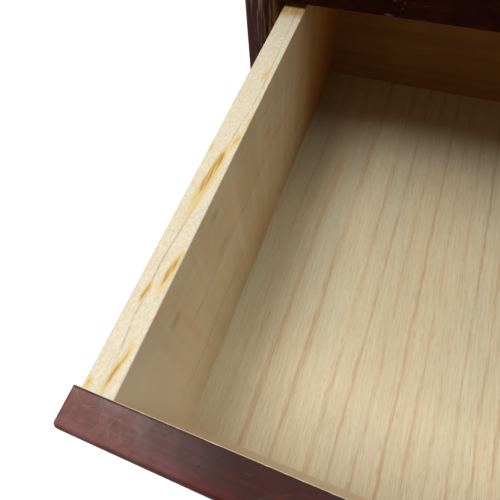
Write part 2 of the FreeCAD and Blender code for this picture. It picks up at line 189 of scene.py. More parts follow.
class Finish(Bench):
    """A material being mixed. Each method adds a node and gives back what comes out of it."""

    def ease(self, value, low, high, start=0.0, end=1.0):
        """start below low, end above high, and a soft change between them."""
        node = self.tree.nodes.new("ShaderNodeMapRange")
        node.interpolation_type = "SMOOTHSTEP"
        for socket, given in zip(node.inputs, (value, low, high, start, end)):
            self.feed(socket, given)
        return node.outputs[0]

    def ramp(self, value, stops):
        """Grey levels at chosen shares of the way, with straight changes between them."""
        node = self.tree.nodes.new("ShaderNodeValToRGB")
        self.feed(node.inputs[0], value)
        steps = node.color_ramp.elements
        while len(steps) < len(stops):
            steps.new(0.5)
        for step, (share, grey) in zip(steps, stops):
            step.position = share
            step.color = (grey, grey, grey, 1.0)
        return node.outputs[0]

    def curve(self, value, points):
        """A line through chosen points, both ways from 0 to 1."""
        node = self.tree.nodes.new("ShaderNodeFloatCurve")
        self.feed(node.inputs["Value"], value)
        line = node.mapping.curves[0]
        while len(line.points) < len(points):
            line.points.new(0.5, 0.5)
        for point, (across, up) in zip(line.points, points):
            point.location = (across, up)
            point.handle_type = "VECTOR"
        node.mapping.update()
        return node.outputs[0]

    def noise(self, step, detail=2.0, rough=0.5, seed=0.0, warp=0.0):
        """Cloudy grey whose patches are step millimetres across along x, y and z."""
        place = self.math_on_vector("MULTIPLY", self.millimetres, [1 / size for size in step])
        moved = self.math_on_vector("ADD", place, [seed * shift for shift in SEED_SHIFT])
        node = self.tree.nodes.new("ShaderNodeTexNoise")
        self.feed(node.inputs["Vector"], moved)
        self.feed(node.inputs["Scale"], 1.0)
        self.feed(node.inputs["Detail"], detail)
        self.feed(node.inputs["Roughness"], rough)
        self.feed(node.inputs["Distortion"], warp)
        return node.outputs[0]

    def drift(self, reach, step, detail=2.0, rough=0.5, seed=0.0):
        """To and fro by up to half of reach, as a thing strays that would run straight."""
        return self.times(self.minus(self.noise(step, detail, rough, seed), 0.5), reach)

    def mix(self, share, first, second, kind="MIX"):
        """The first colour at share 0, the second one at share 1."""
        node = self.tree.nodes.new("ShaderNodeMix")
        node.data_type = "RGBA"
        node.blend_type = kind
        self.feed(node.inputs[0], share)
        self.feed(node.inputs[6], first)
        self.feed(node.inputs[7], second)
        return node.outputs[2]

    def lay(self, colour, under, cloud, low, high, start=0.0, end=1.0):
        """Lays a colour over another one, from start to end as a cloud goes from low to high."""
        return self.mix(self.ease(cloud, low, high, start, end), under, colour)

    def finish(self, colour, roughness, height, depth_mm, **fixed):
        """Wires colour, roughness and hollows to the shader. Fixed values go on its sockets."""
        self.feed(self.shader.inputs["Base Color"], colour)
        self.feed(self.shader.inputs["Roughness"], roughness)
        bump = self.tree.nodes.new("ShaderNodeBump")
        self.feed(bump.inputs["Height"], height)
        self.feed(bump.inputs["Distance"], depth_mm * MM)
        self.feed(self.shader.inputs["Normal"], bump.outputs[0])
        for socket, value in fixed.items():
            self.feed(self.shader.inputs[socket.replace("_", " ")], value)
        print("finish", self.material.name, "uses", len(self.tree.nodes), "nodes")
        return self.material


# %% Give a finish to a piece
def coat(piece, material):
    """The piece wears one material all over."""
    piece.data.materials.clear()
    piece.data.materials.append(material)


print("pieces that wait for a finish:", len(boards))


# %% [markdown]
# ## Growth lines
#
# A board cut lengthwise shows one line for each year of the tree. Rather than drawing lines,
# we count years: a curve turns the place across the board into a number of years, and the
# fraction of that number says how far the year has come. Wood darkens slowly through summer
# and starts pale again in spring, so each line is soft on one side and sharp on the other.

# %% Count the years across a board
# each: share of the year, darkness of its wood
YEAR_SHADES = [(0.0, 1.0), (0.05, 0.5), (0.13, 0.0), (0.85, 0.0), (0.87, 0.28), (0.96, 1.0)]
WEAKEST_YEAR = 0.45


def years_across(mixed, across_mm, line_places):
    """How many growth lines lie between the board's edge and each place across it."""
    widest = line_places[-1]
    count = len(line_places) - 1
    points = [(place / widest, years / count) for years, place in enumerate(line_places)]
    share = mixed.times(across_mm, 1 / widest)
    return mixed.times(mixed.curve(share, points), count)


def tree_year(mixed, years, seed):
    """A chance strength for each year, since some summers leave darker wood than others."""
    node = mixed.tree.nodes.new("ShaderNodeTexWhiteNoise")
    node.noise_dimensions = "1D"
    line = mixed.math("FLOOR", mixed.plus(years, 0.5))
    mixed.feed(node.inputs["W"], mixed.plus(line, seed))
    return mixed.ease(node.outputs["Value"], 0.0, 1.0, WEAKEST_YEAR, 1.0)


def growth_lines(mixed, years, shades, seed):
    """The dark late wood of each year, between 0 and 1."""
    line = mixed.ramp(mixed.math("FRACT", years), shades)
    return mixed.times(line, tree_year(mixed, years, seed))


print("the weakest year is drawn at", WEAKEST_YEAR, "of the strongest")


# %% [markdown]
# ## The floor of the big drawer
#
# A thin wide panel of pale soft wood, planed and left bare. Its growth lines run from the
# front to the back, warm brown and one to two millimetres wide, and they lean a little to
# the right. Between them lie short fibres, finer than a hair. We lay the wood down in the
# order in which it is seen from far to near: slow changes of hue, streaks, fibres, lines.

# %% The floor's growth lines
FLOOR_LINES = [0, 5, 17, 31, 46, 63, 72, 82, 92, 101, 110, 119, 128, 136, 146, 157, 168]
FLOOR_LINES += [179, 189, 202, 214, 225, 234, 245, 258, 271, 282, 294, 306, 317, 330, 345]
FLOOR_LEAN_MM = 6.0
FIRST_LINE_MM = 6


def floor_lines(mixed, along, inner_left_mm, seed):
    """Growth lines that run from front to back, lean a little and sway a little."""
    sway = mixed.drift(4.0, (60, 120, 60), 1.0, seed=seed)
    waver = mixed.drift(3.4, (3.5, 9, 3.5), 5.0, 0.72, seed + 1)
    moved = mixed.plus(mixed.plus(sway, waver), mixed.times(along, FLOOR_LEAN_MM))
    across = mixed.minus(mixed.minus(mixed.x, inner_left_mm - FIRST_LINE_MM), moved)
    lines = growth_lines(mixed, years_across(mixed, across, FLOOR_LINES), YEAR_SHADES, seed)
    fading = mixed.ease(mixed.noise((10, 45, 10), 3.0, seed=seed + 2), 0.3, 0.55, 0.4, 1.0)
    return mixed.times(lines, fading)


print("growth lines on a floor:", len(FLOOR_LINES))

# %% The floor's wood under its lines
FLOOR_COOL, FLOOR_WARM = tint(213, 205, 172), tint(221, 205, 168)
FLOOR_BAND, FLOOR_PAINTED_LIGHT = tint(214, 194, 154), tint(236, 226, 194)
FLOOR_STREAK, FLOOR_LIGHT = tint(200, 174, 132), tint(248, 238, 212)
FLOOR_FIBRE = tint(192, 164, 124)


def floor_ground(mixed, along, streaks, fibres, seed):
    """Pale wood before its lines are drawn: slow changes of hue, painted light at the front, then
    streaks and fibres.
    """
    hue = mixed.noise((22, 90, 22), 2.0, seed=seed + 7)
    bands = mixed.noise((12, 150, 12), 2.0, seed=seed + 6)
    pale = mixed.lay(FLOOR_WARM, FLOOR_COOL, hue, 0.35, 0.65)
    pale = mixed.lay(FLOOR_BAND, pale, bands, 0.4, 0.65, 0.0, 0.25)
    # painted light: the floor is paler towards the front of the drawer
    pale = mixed.lay(FLOOR_PAINTED_LIGHT, pale, along, 0.0, 0.3, 0.7, 0.0)
    pale = mixed.lay(FLOOR_STREAK, pale, streaks, 0.38, 0.7, 0.0, 0.3)
    pale = mixed.lay(FLOOR_LIGHT, pale, streaks, 0.3, 0.55, 0.16, 0.0)
    return mixed.lay(FLOOR_FIBRE, pale, fibres, 0.4, 0.8, 0.0, 0.3)


print("light that floor wood gives back:", [round(part, 2) for part in FLOOR_COOL[:3]])


# %% Finish of the floor panels
FLOOR_LINE, FLOOR_PORE = tint(184, 134, 86), tint(160, 126, 82)
CORNER_SHADE, PAINTED_BACK_SHADE = tint(220, 217, 205), tint(250, 236, 196)
LINE_STRENGTH, PORE_STRENGTH, CORNER_STRENGTH = 0.54, 0.26, 0.9
CORNER_REACH_MM, BACK_SHADE_FROM_SHARE = 34.0, 0.7
FLOOR_RELIEF_MM = 0.08
WOOD_IOR = 1.45


def floor_wood(name, panel, inner_left_mm, seed):
    """Bare planed panel, with painted shade in its corners and towards the back."""
    low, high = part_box(panel)
    front, depth = low.y / MM, (high.y - low.y) / MM
    inner_right_mm = (low.x + high.x) / MM - inner_left_mm
    mixed = Finish(name)
    along = mixed.times(mixed.minus(mixed.y, front), 1 / depth)
    wall = mixed.least(mixed.minus(mixed.x, inner_left_mm), mixed.minus(inner_right_mm, mixed.x))
    streaks = mixed.noise((0.9, 26, 0.9), 4.0, 0.7, seed + 3)
    fibres = mixed.noise((0.5, 9, 0.5), 3.0, 0.65, seed + 4)
    pores = mixed.ease(mixed.noise((0.45, 5, 0.45), 1.0, 0.5, seed + 5), 0.6, 0.76)
    lines = floor_lines(mixed, along, inner_left_mm, seed)
    lines = mixed.times(lines, mixed.ease(streaks, 0.34, 0.58, 0.35, 1.0))
    lines = mixed.times(lines, mixed.ease(wall, 4.0, 20.0, 0.6, 1.0))
    colour = floor_ground(mixed, along, streaks, fibres, seed)
    colour = mixed.mix(mixed.times(lines, LINE_STRENGTH), colour, FLOOR_LINE)
    colour = mixed.mix(mixed.times(pores, PORE_STRENGTH), colour, FLOOR_PORE)
    # painted shade: the floor darkens towards the drawer's walls, where their shadow falls
    painted_corner_shade = mixed.ease(wall, 0.0, CORNER_REACH_MM, CORNER_STRENGTH, 0.0)
    colour = mixed.mix(painted_corner_shade, colour, CORNER_SHADE, "MULTIPLY")
    # painted shade: the back of the floor turns darker and browner, under the case
    deep_in = mixed.ease(mixed.y, front + BACK_SHADE_FROM_SHARE * depth, front + depth)
    colour = mixed.mix(deep_in, colour, PAINTED_BACK_SHADE, "MULTIPLY")
    rough = mixed.ease(fibres, 0.2, 0.8, 0.44, 0.6)
    height = mixed.times(mixed.plus(fibres, streaks), 0.5)
    height = mixed.minus(height, mixed.times(mixed.plus(lines, pores), 0.3))
    return mixed.finish(colour, rough, height, FLOOR_RELIEF_MM, IOR=WOOD_IOR)


DRAWER_INNER_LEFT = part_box("deep_side_left")[1].x / MM
coat(boards["deep_floor"], floor_wood("pale_floor_wood", "deep_floor", DRAWER_INNER_LEFT, 2.0))

# %% [markdown]
# ## The sides of the drawers
#
# The drawer sides are ten millimetres of close pale maple. Their top edges get rubbed and
# bleached, and resin or old tea has left amber stains there that follow the fibres. A thin
# grey line wanders along the edge where a year's wood comes to the surface. Each stain is a
# long soft blot: its distance from the middle is measured in its own length and width.


# %% One soft blot
def blot(mixed, spot, middle, reach, slant_degrees=0.0):
    """1 in the middle of a blot and 0 past its reach, which is its half length each way."""
    node = mixed.tree.nodes.new("ShaderNodeMapping")
    node.vector_type = "TEXTURE"
    mixed.feed(node.inputs["Vector"], spot)
    node.inputs["Location"].default_value = (*middle, 0.0)
    node.inputs["Rotation"].default_value = (0.0, 0.0, math.radians(slant_degrees))
    node.inputs["Scale"].default_value = (*reach, 1.0)
    away = mixed.math_on_vector("LENGTH", node.outputs[0])
    return mixed.ease(away, 0.0, 1.0, 1.0, 0.0)


# %% Stains on the top edges
# each: along from the front, across from the outer face, half length, half width, slant, depth
LEFT_STAINS = [
    (1.5, 1.2, 2.6, 1.2, 0, 0.7),
    (4.5, 6.0, 5.5, 0.8, 6, 0.85),
    (8.0, 7.2, 7.0, 0.7, 10, 0.7),
    (13.0, 7.3, 4.0, 0.7, 5, 0.45),
    (30.0, 4.0, 4.0, 1.0, 4, 1.0),
    (38.0, 7.9, 6.5, 1.1, 8, 1.0),
    (37.0, 8.6, 9.5, 1.4, 8, 0.4),
    (72.0, 5.6, 17.0, 1.9, 5, 0.75),
    (77.0, 5.2, 11.0, 0.9, 5, 1.0),
    (86.0, 0.8, 2.4, 0.7, 0, 0.6),
    (91.0, 8.3, 3.4, 1.1, 8, 0.85),
    (100.0, 9.4, 6.0, 0.6, 3, 0.5),
    (127.0, 7.2, 5.5, 0.9, 9, 0.6),
    (168.0, 3.4, 7.0, 0.8, 4, 0.45),
    (214.0, 6.0, 9.0, 1.1, 3, 0.4),
]
STAIN_SPREAD = 1.5


def chance_stains(long, wide, count, seed):
    """Stains of the same kind for a board that lies out of sight, at chance places."""
    chance = random.Random(seed)
    stains = []
    for _ in range(count):
        along = chance.uniform(0.03, 0.97) * long
        across = chance.uniform(0.15, 0.85) * wide
        half = chance.uniform(2.5, 12)
        stains.append((along, across, half, chance.uniform(0.6, 1.4), 5, chance.uniform(0.3, 0.9)))
    return stains


def stain_depth(mixed, along, across, stains, seed):
    """How deep the stains have soaked in, all of them together."""
    ragged = mixed.drift(2.2, (1.1, 6.0, 1.1), 3.0, 0.6, seed)
    spot = mixed.join(mixed.plus(along, mixed.times(ragged, 3.0)), mixed.plus(across, ragged))
    total = 0.0
    for along_mm, across_mm, half_long, half_wide, slant, depth in stains:
        reach = (half_long * STAIN_SPREAD, half_wide * STAIN_SPREAD)
        one = blot(mixed, spot, (along_mm, across_mm), reach, slant)
        total = mixed.plus(total, mixed.times(one, depth))
    streaks = mixed.ease(mixed.noise((0.5, 9, 0.5), 2.0, seed=seed + 1), 0.3, 0.7, 0.6, 1.15)
    return mixed.times(mixed.least(total, 1.0), streaks)


print("stains on the left side's edge:", len(LEFT_STAINS))

# %% [markdown]
# ## Faces and edges of a side
#
# One board shows two kinds of surface. Its tall faces are creamy, with a slow figure, a ripple
# across the grain and thin lines along it. Its top edge is rubbed almost white, and it is
# speckled. We mix the two apart and let the way that a surface faces choose between them. On
# the big drawer, painted shade darkens the sides low down, mid-way along and inside the case,
# a painted shadow falls on the top edge at the case, and painted light makes the front paler.

# %% The tall faces
SIDE_LINES = [0, 11.5, 37, 66, 120]
SIDE_SHADES = [(0.0, 0.9), (0.02, 0.0), (0.72, 0.0), (0.95, 0.25), (0.985, 0.9), (1.0, 1.0)]
MAPLE_COOL, MAPLE_WARM = tint(234, 228, 200), tint(236, 216, 182)
MAPLE_DULL, MAPLE_ROSY, MAPLE_GREEN = tint(214, 194, 154), tint(226, 192, 152), tint(206, 200, 158)
MAPLE_FIBRE, MAPLE_LINE, MAPLE_KNOT = tint(206, 184, 144), tint(140, 122, 92), tint(172, 134, 78)
# each: along from the front, down from the top edge, half length, half height, depth
LEFT_KNOTS = [(28, 17, 5.5, 4.0, 0.5), (64, 8, 4.5, 3.0, 0.4)]
LEFT_KNOTS += [(66, 30, 9.0, 4.5, 0.3), (118, 22, 8.0, 4.0, 0.25)]


def side_lines(mixed, below_top, seed):
    """Growth lines that run along a side board and wander up and down."""
    sway = mixed.drift(13.0, (30, 55, 30), 3.0, 0.5, seed)
    waver = mixed.drift(5.0, (7, 15, 7), 4.0, 0.6, seed + 10)
    moved = mixed.plus(mixed.plus(below_top, 2.0), mixed.plus(sway, waver))
    lines = growth_lines(mixed, years_across(mixed, moved, SIDE_LINES), SIDE_SHADES, seed)
    fading = mixed.ease(mixed.noise((8, 34, 8), 3.0, seed=seed + 1), 0.38, 0.6, 0.1, 1.0)
    return mixed.times(lines, fading)


def side_face(mixed, along, below_top, lines, fibres, knots, seed):
    """Creamy maple: slow clouds, figure, ripple, fibres, lines and knots."""
    figure = mixed.noise((30, 11, 70), 1.0, seed=seed + 3)
    clouds = mixed.noise((20, 60, 20), 2.0, seed=seed + 4)
    ripple = mixed.noise((30, 5.5, 90), 2.0, seed=seed + 9)
    face = mixed.lay(MAPLE_WARM, MAPLE_COOL, clouds, 0.35, 0.65)
    face = mixed.lay(MAPLE_DULL, face, figure, 0.35, 0.7, 0.0, 0.45)
    face = mixed.lay(MAPLE_ROSY, face, ripple, 0.42, 0.62, 0.0, 0.35)
    face = mixed.lay(MAPLE_GREEN, face, ripple, 0.3, 0.46, 0.35, 0.0)
    face = mixed.lay(MAPLE_FIBRE, face, fibres, 0.4, 0.75, 0.0, 0.3)
    face = mixed.mix(mixed.times(lines, 0.38), face, MAPLE_LINE)
    spot = mixed.join(along, below_top)
    for along_mm, down_mm, half_long, half_high, depth in knots:
        knot = blot(mixed, spot, (along_mm, down_mm), (half_long, half_high))
        face = mixed.mix(mixed.times(knot, depth), face, MAPLE_KNOT)
    return face


print("knots on the left side:", len(LEFT_KNOTS))


# %% The top edge
EDGE_PALE, EDGE_BRIGHT = tint(234, 218, 184), tint(248, 238, 212)
EDGE_FLECK, EDGE_DULL, EDGE_LINE = tint(240, 218, 176), tint(222, 210, 190), tint(176, 158, 122)
EDGE_WIDE = 10
# each: along from the front, across from the outer face
GREY_LINE = [(0, 6.3), (20, 4.5), (40, 4.0), (60, 5.5), (90, 6.5), (115, 8.3), (170, 6.8), (253, 5.2)]


def side_edge(mixed, along, across, speckle, grey_line, long, seed):
    """The rubbed top edge: speckled, flecked, with one broken grey line along it."""
    flecks = mixed.noise((1.3, 2.6, 1.3), 3.0, 0.65, seed + 6)
    edge = mixed.lay(EDGE_BRIGHT, EDGE_PALE, speckle, 0.3, 0.7)
    edge = mixed.lay(EDGE_FLECK, edge, flecks, 0.5, 0.7, 0.0, 0.35)
    edge = mixed.lay(EDGE_DULL, edge, flecks, 0.32, 0.5, 0.3, 0.0)
    points = [(along_mm / long, across_mm / EDGE_WIDE) for along_mm, across_mm in grey_line]
    course = mixed.times(mixed.curve(mixed.times(along, 1 / long), points), EDGE_WIDE)
    off_course = mixed.math("ABSOLUTE", mixed.minus(across, course))
    breaks = mixed.ease(mixed.noise((1, 9, 1), 2.0, seed=seed + 7), 0.3, 0.6, 0.1, 0.75)
    grey = mixed.times(mixed.ease(off_course, 0.0, 0.6, 1.0, 0.0), breaks)
    return mixed.mix(mixed.times(grey, 0.7), edge, EDGE_LINE)


print("the grey line turns at", len(GREY_LINE), "places")


# %% Painted light and shade on the big drawer's sides
# each: from and to, in millimetres behind the middle of the case, with the drawer open
FRONT_LIGHT_SPAN, MID_SHADE_SPAN, NEVER_LIT = (-310.0, -280.0), (-275.0, -205.0), (-175.0, -100.0)
BACK_SHADE_SPAN, OVERHANG_SHADOW_SPAN = (-140.0, -65.0), (-150.0, -144.0)
SHADED_MAPLE, UNLIT_MAPLE = tint(200, 168, 112), tint(216, 178, 118)
LIT_FRONT_MAPLE, SHADOWED_EDGE = tint(248, 238, 216), tint(226, 190, 140)


def painted_light_and_shade(mixed, face, edge, below_top):
    """Painted shade low down, mid-way and in the case, painted light in front, shadow on the edge."""
    # painted shade: the faces darken mid-way along, low down, towards the back and inside the case
    mid_shade = mixed.ease(mixed.y, *MID_SHADE_SPAN, -0.12, 0.3)
    low_shade = mixed.ease(below_top, 35.0, 93.0, 0.0, 0.35)
    shade_share = mixed.most(mixed.plus(mid_shade, low_shade), 0.0)
    shade_share = mixed.most(shade_share, mixed.ease(mixed.y, *BACK_SHADE_SPAN))
    face = mixed.mix(shade_share, face, SHADED_MAPLE, "MULTIPLY")
    face = mixed.mix(mixed.ease(mixed.y, *NEVER_LIT), face, UNLIT_MAPLE, "MULTIPLY")
    # painted light: the front end of each face is paler
    face = mixed.lay(LIT_FRONT_MAPLE, face, mixed.y, *FRONT_LIGHT_SPAN, 0.7, 0.0)
    # painted shadow: the top edge darkens where the case's overhang shades it
    edge = mixed.mix(mixed.ease(mixed.y, *OVERHANG_SHADOW_SPAN), edge, SHADOWED_EDGE, "MULTIPLY")
    return face, edge


print("the case starts to cover the sides at y =", OVERHANG_SHADOW_SPAN[1], "mm")


# %% Finish of the drawer sides
AMBER_THIN, AMBER_DEEP = tint(238, 206, 120), tint(190, 134, 54)
SIDE_RELIEF_MM = 0.07


def side_wood(name, board, outer_mm, inward, stains, grey_line, seed, knots=(), with_painted_light=False):
    """Planed maple whose grain runs along the board, with amber stains on its top edge."""
    low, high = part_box(board)
    front, top, long = low.y / MM, high.z / MM, (high.y - low.y) / MM
    mixed = Finish(name)
    along = mixed.minus(mixed.y, front)
    across = mixed.times(mixed.minus(mixed.x, outer_mm), inward)
    below_top = mixed.minus(top, mixed.z)
    on_top = mixed.ease(mixed.parts(mixed.facing)[2], 0.5, 0.9)
    fibres = mixed.noise((0.5, 11, 0.5), 3.0, 0.6, seed + 2)
    speckle = mixed.noise((0.55, 0.9, 0.55), 2.0, 0.6, seed + 5)
    lines = mixed.times(side_lines(mixed, below_top, seed), mixed.minus(1.0, on_top))
    face = side_face(mixed, along, below_top, lines, fibres, knots, seed)
    edge = side_edge(mixed, along, across, speckle, grey_line, long, seed)
    # the big drawer's sides get painted light and shade
    if with_painted_light:
        face, edge = painted_light_and_shade(mixed, face, edge, below_top)
    colour = mixed.mix(on_top, face, edge)
    stained = mixed.times(stain_depth(mixed, along, across, stains, seed + 8), on_top)
    colour = mixed.lay(AMBER_THIN, colour, stained, 0.0, 0.4, 0.0, 0.75)
    colour = mixed.lay(AMBER_DEEP, colour, stained, 0.45, 1.0, 0.0, 0.85)
    rough = mixed.ease(fibres, 0.2, 0.8, 0.48, 0.66)
    height = mixed.plus(mixed.times(fibres, 0.5), mixed.times(speckle, 0.4))
    height = mixed.minus(height, mixed.times(lines, 0.4))
    return mixed.finish(colour, rough, height, SIDE_RELIEF_MM, IOR=WOOD_IOR)


# %% Sides of the big drawer
left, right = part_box("deep_side_left"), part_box("deep_side_right")
right_stains = chance_stains((left[1].y - left[0].y) / MM, EDGE_WIDE, 11, 5)
right_line = [(along, EDGE_WIDE - across) for along, across in GREY_LINE]
maple_left = side_wood("maple_left", "deep_side_left", left[0].x / MM, 1.0, LEFT_STAINS, GREY_LINE,
                       3.0, LEFT_KNOTS, with_painted_light=True)
maple_right = side_wood("maple_right", "deep_side_right", right[1].x / MM, -1.0, right_stains,
                        right_line, 17.0, with_painted_light=True)
coat(boards["deep_side_left"], maple_left)
coat(boards["deep_side_right"], maple_right)

# %% [markdown]
# ## Plain wood that nobody sees much
#
# Drawer backs, runners, stops and the inside of the case are the same family of wood, left
# rough and darkened by age to orange brown; the drawer backs are darker still, as painted
# shade. One recipe serves them all, told which way its grain runs and how dark it has become.


# %% A bare wood to build on
SAWN_RELIEF_MM = 0.1


def step_along(axis, long, fine):
    """Sizes of a pattern that is long in the direction of the grain and fine across it."""
    return tuple(long if name == axis else fine for name in "xyz")


def bare_wood(mixed, axis, light, dark, seed):
    """Colour, height and fibres of plain wood with its grain along one axis."""
    fibres = mixed.noise(step_along(axis, 12, 0.6), 3.0, 0.6, seed)
    bands = mixed.noise(step_along(axis, 120, 4.5), 3.0, 0.55, seed + 1, warp=0.3)
    clouds = mixed.noise((45, 45, 45), 2.0, seed=seed + 2)
    colour = mixed.mix(clouds, dark, light)
    colour = mixed.lay(dark, colour, bands, 0.42, 0.68, 0.0, 0.55)
    colour = mixed.lay(dimmed(dark, 0.55), colour, fibres, 0.5, 0.85, 0.0, 0.55)
    height = mixed.minus(fibres, mixed.times(bands, 0.5))
    return colour, height, fibres


def plain_wood(name, axis, light, dark, seed):
    """A whole finish of bare wood, for boards that wear nothing else."""
    mixed = Finish(name)
    colour, height, fibres = bare_wood(mixed, axis, light, dark, seed)
    rough = mixed.ease(fibres, 0.2, 0.8, 0.55, 0.75)
    return mixed.finish(colour, rough, height, SAWN_RELIEF_MM, IOR=WOOD_IOR)


# %% Backs, runners, stops, shelf and dowels
AGED_LIGHT, AGED_DARK = tint(196, 156, 104), tint(150, 108, 62)
# painted shade: the drawer backs are darker and browner than the other bare wood
BACK_LIGHT_SHADED, BACK_DARK_SHADED = tint(146, 98, 32), tint(116, 70, 18)
PEG_LIGHT, PEG_DARK = tint(190, 148, 92), tint(140, 98, 56)

for node, seed in (("deep_back", 21.0), ("upper_left_back", 22.0), ("upper_right_back", 23.0)):
    coat(boards[node], plain_wood("drawer_back_" + node, "x", BACK_LIGHT_SHADED, BACK_DARK_SHADED, seed))
aged_lengthwise = plain_wood("aged_wood_lengthwise", "y", AGED_LIGHT, AGED_DARK, 31.0)
aged_crosswise = plain_wood("aged_wood_crosswise", "x", AGED_LIGHT, AGED_DARK, 33.0)
peg_wood = plain_wood("peg_wood", "y", PEG_LIGHT, PEG_DARK, 35.0)
for node in ("runner_left", "runner_right", "guide_left", "guide_right"):
    coat(boards[node], aged_lengthwise)
for node in ("middle_shelf", "deep_drawer_stops", "upper_drawer_stops"):
    coat(boards[node], aged_crosswise)
for node in boards:
    if node.endswith(("_dowels", "_pegs")):
        coat(boards[node], peg_wood)

# %% [markdown]
# ## The upper drawers
#
# They are small sisters of the big one: the same maple sides and the same pale floor. Each
# board gets its own seed, so no two of them show the same clouds.

# %% Sides and floors of the upper drawers
UPPER_EDGE_WIDE = 8

for count, side in enumerate(("upper_left", "upper_right")):
    for turn, hand in ((1.0, "side_left"), (-1.0, "side_right")):
        node = f"{side}_{hand}"
        low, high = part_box(node)
        outer = (low.x if turn > 0 else high.x) / MM
        seed = 40.0 + 5 * count + turn
        stains = chance_stains((high.y - low.y) / MM, UPPER_EDGE_WIDE, 5, int(seed))
        wander = [(along, 0.6 * across + 1) for along, across in GREY_LINE]
        coat(boards[node], side_wood("maple_" + node, node, outer, turn, stains, wander, seed))
    node = side + "_floor"
    coat(boards[node], floor_wood("pale_" + node, node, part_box(node)[0].x / MM, 50.0 + count))

# %% [markdown]
# ## The lacquer
#
# Many thin coats of red-brown lacquer cover everything that shows from outside. Where hands
# rub, the top coats go and the redder ones below shine through, first on the edges. Wear needs
# to know how near an edge is: of the three distances to the sides of a board, the smallest is
# zero on its surface, so the middle one is the distance to the nearest edge.


# %% How near an edge is
def edge_distance(mixed, node):
    """Millimetres from each place on a board's surface to its nearest edge."""
    low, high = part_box(node)
    gaps = []
    for place, start, end in zip((mixed.x, mixed.y, mixed.z), low, high):
        gap = mixed.least(mixed.minus(place, start / MM), mixed.minus(end / MM, place))
        gaps.append(mixed.math("ABSOLUTE", gap))
    first, second, third = gaps
    return mixed.most(mixed.least(first, second), mixed.least(mixed.most(first, second), third))


def facing_front(mixed):
    """1 on surfaces that look to the front, and a soft change to 0 on the others."""
    return mixed.ease(mixed.times(mixed.parts(mixed.facing)[1], -1.0), 0.6, 0.95)


# %% The coats, one over the other
DEEP_COAT, UNDER_COAT, RUBBED_COAT = tint(46, 18, 15), tint(64, 28, 24), tint(104, 34, 20)
GOLDEN_GRAIN, WORN_TO_WOOD = tint(150, 112, 72), tint(150, 104, 62)


def coats(mixed, axis, grain, golden, dark, seed):
    """Colour of the coats, with the clouds in them and the grain that stands up through them."""
    clouds = mixed.noise((16, 16, 16), 3.0, 0.6, seed + 3)
    through = mixed.noise(step_along(axis, 45, 1.6), 3.0, 0.6, seed + 4)
    colour = mixed.lay(dimmed(UNDER_COAT, dark), dimmed(DEEP_COAT, dark), clouds, 0.3, 0.7)
    colour = mixed.lay(RUBBED_COAT, colour, through, 0.5, 0.75, 0.0, grain)
    if golden > 0:
        streak = mixed.ease(mixed.noise(step_along(axis, 30, 2.2), 3.0, 0.6, seed + 12), 0.5, 0.66)
        worn = mixed.times(mixed.times(streak, facing_front(mixed)), golden)
        colour = mixed.mix(worn, colour, GOLDEN_GRAIN)
    return colour, clouds, through


def worn_edges(mixed, colour, node, worn_mm, seed):
    """Edges rubbed to the red coat, and here and there to the wood."""
    near = edge_distance(mixed, node)
    nibble = mixed.noise((2.4, 2.4, 2.4), 4.0, 0.7, seed + 7)
    reach = mixed.times(mixed.ease(nibble, 0.3, 0.75, 0.15, 1.6), worn_mm)
    rubbed = mixed.ease(mixed.math("DIVIDE", near, reach), 0.3, 1.0, 1.0, 0.0)
    colour = mixed.mix(mixed.times(rubbed, 0.75), colour, RUBBED_COAT)
    patchy = mixed.ease(mixed.noise((7, 7, 7), 3.0, 0.6, seed + 8), 0.58, 0.7)
    bitten = mixed.times(mixed.times(rubbed, patchy), mixed.ease(near, 0.1, 0.5, 1.0, 0.0))
    return mixed.mix(bitten, colour, WORN_TO_WOOD), rubbed


print("red light from each coat:", [round(c[0], 2) for c in (DEEP_COAT, UNDER_COAT, RUBBED_COAT)])


# %% [markdown]
# ## Haze, crackle, rings and knocks
#
# Sweat and tea turn an old lacquer milky where it is handled, and a fine crackle shows in that
# bloom. A drop that dries leaves a thin pale outline, which is the border of a blot bent by
# noise. Knocks come in clusters, and dust drawn along a board leaves scratches with its grain.

# %% Haze and its crackle
HAZE, WARM_HAZE, CRACK_COLOUR = tint(146, 110, 108), tint(142, 94, 84), tint(164, 136, 118)
HAZE_SPECK, HAZE_BLOOM = tint(78, 44, 38), tint(152, 118, 112)


def hairlines(mixed, step_mm, width, seed):
    """Fine crackle in an old coat: the borders of chance cells, broken up by noise."""
    offset = mixed.drift(1.3, (step_mm,) * 3, 3.0, 0.6, seed)
    place = mixed.math_on_vector("MULTIPLY", mixed.millimetres, (1 / step_mm,) * 3)
    moved = mixed.math_on_vector("ADD", place, mixed.join(offset, offset, seed))
    node = mixed.tree.nodes.new("ShaderNodeTexVoronoi")
    node.feature = "DISTANCE_TO_EDGE"
    mixed.feed(node.inputs["Vector"], moved)
    mixed.feed(node.inputs["Scale"], 1.0)
    line = mixed.ease(node.outputs["Distance"], 0.0, width, 1.0, 0.0)
    some = mixed.ease(mixed.noise((step_mm * 1.5,) * 3, 2.0, seed=seed + 1), 0.5, 0.62)
    return mixed.times(line, some)


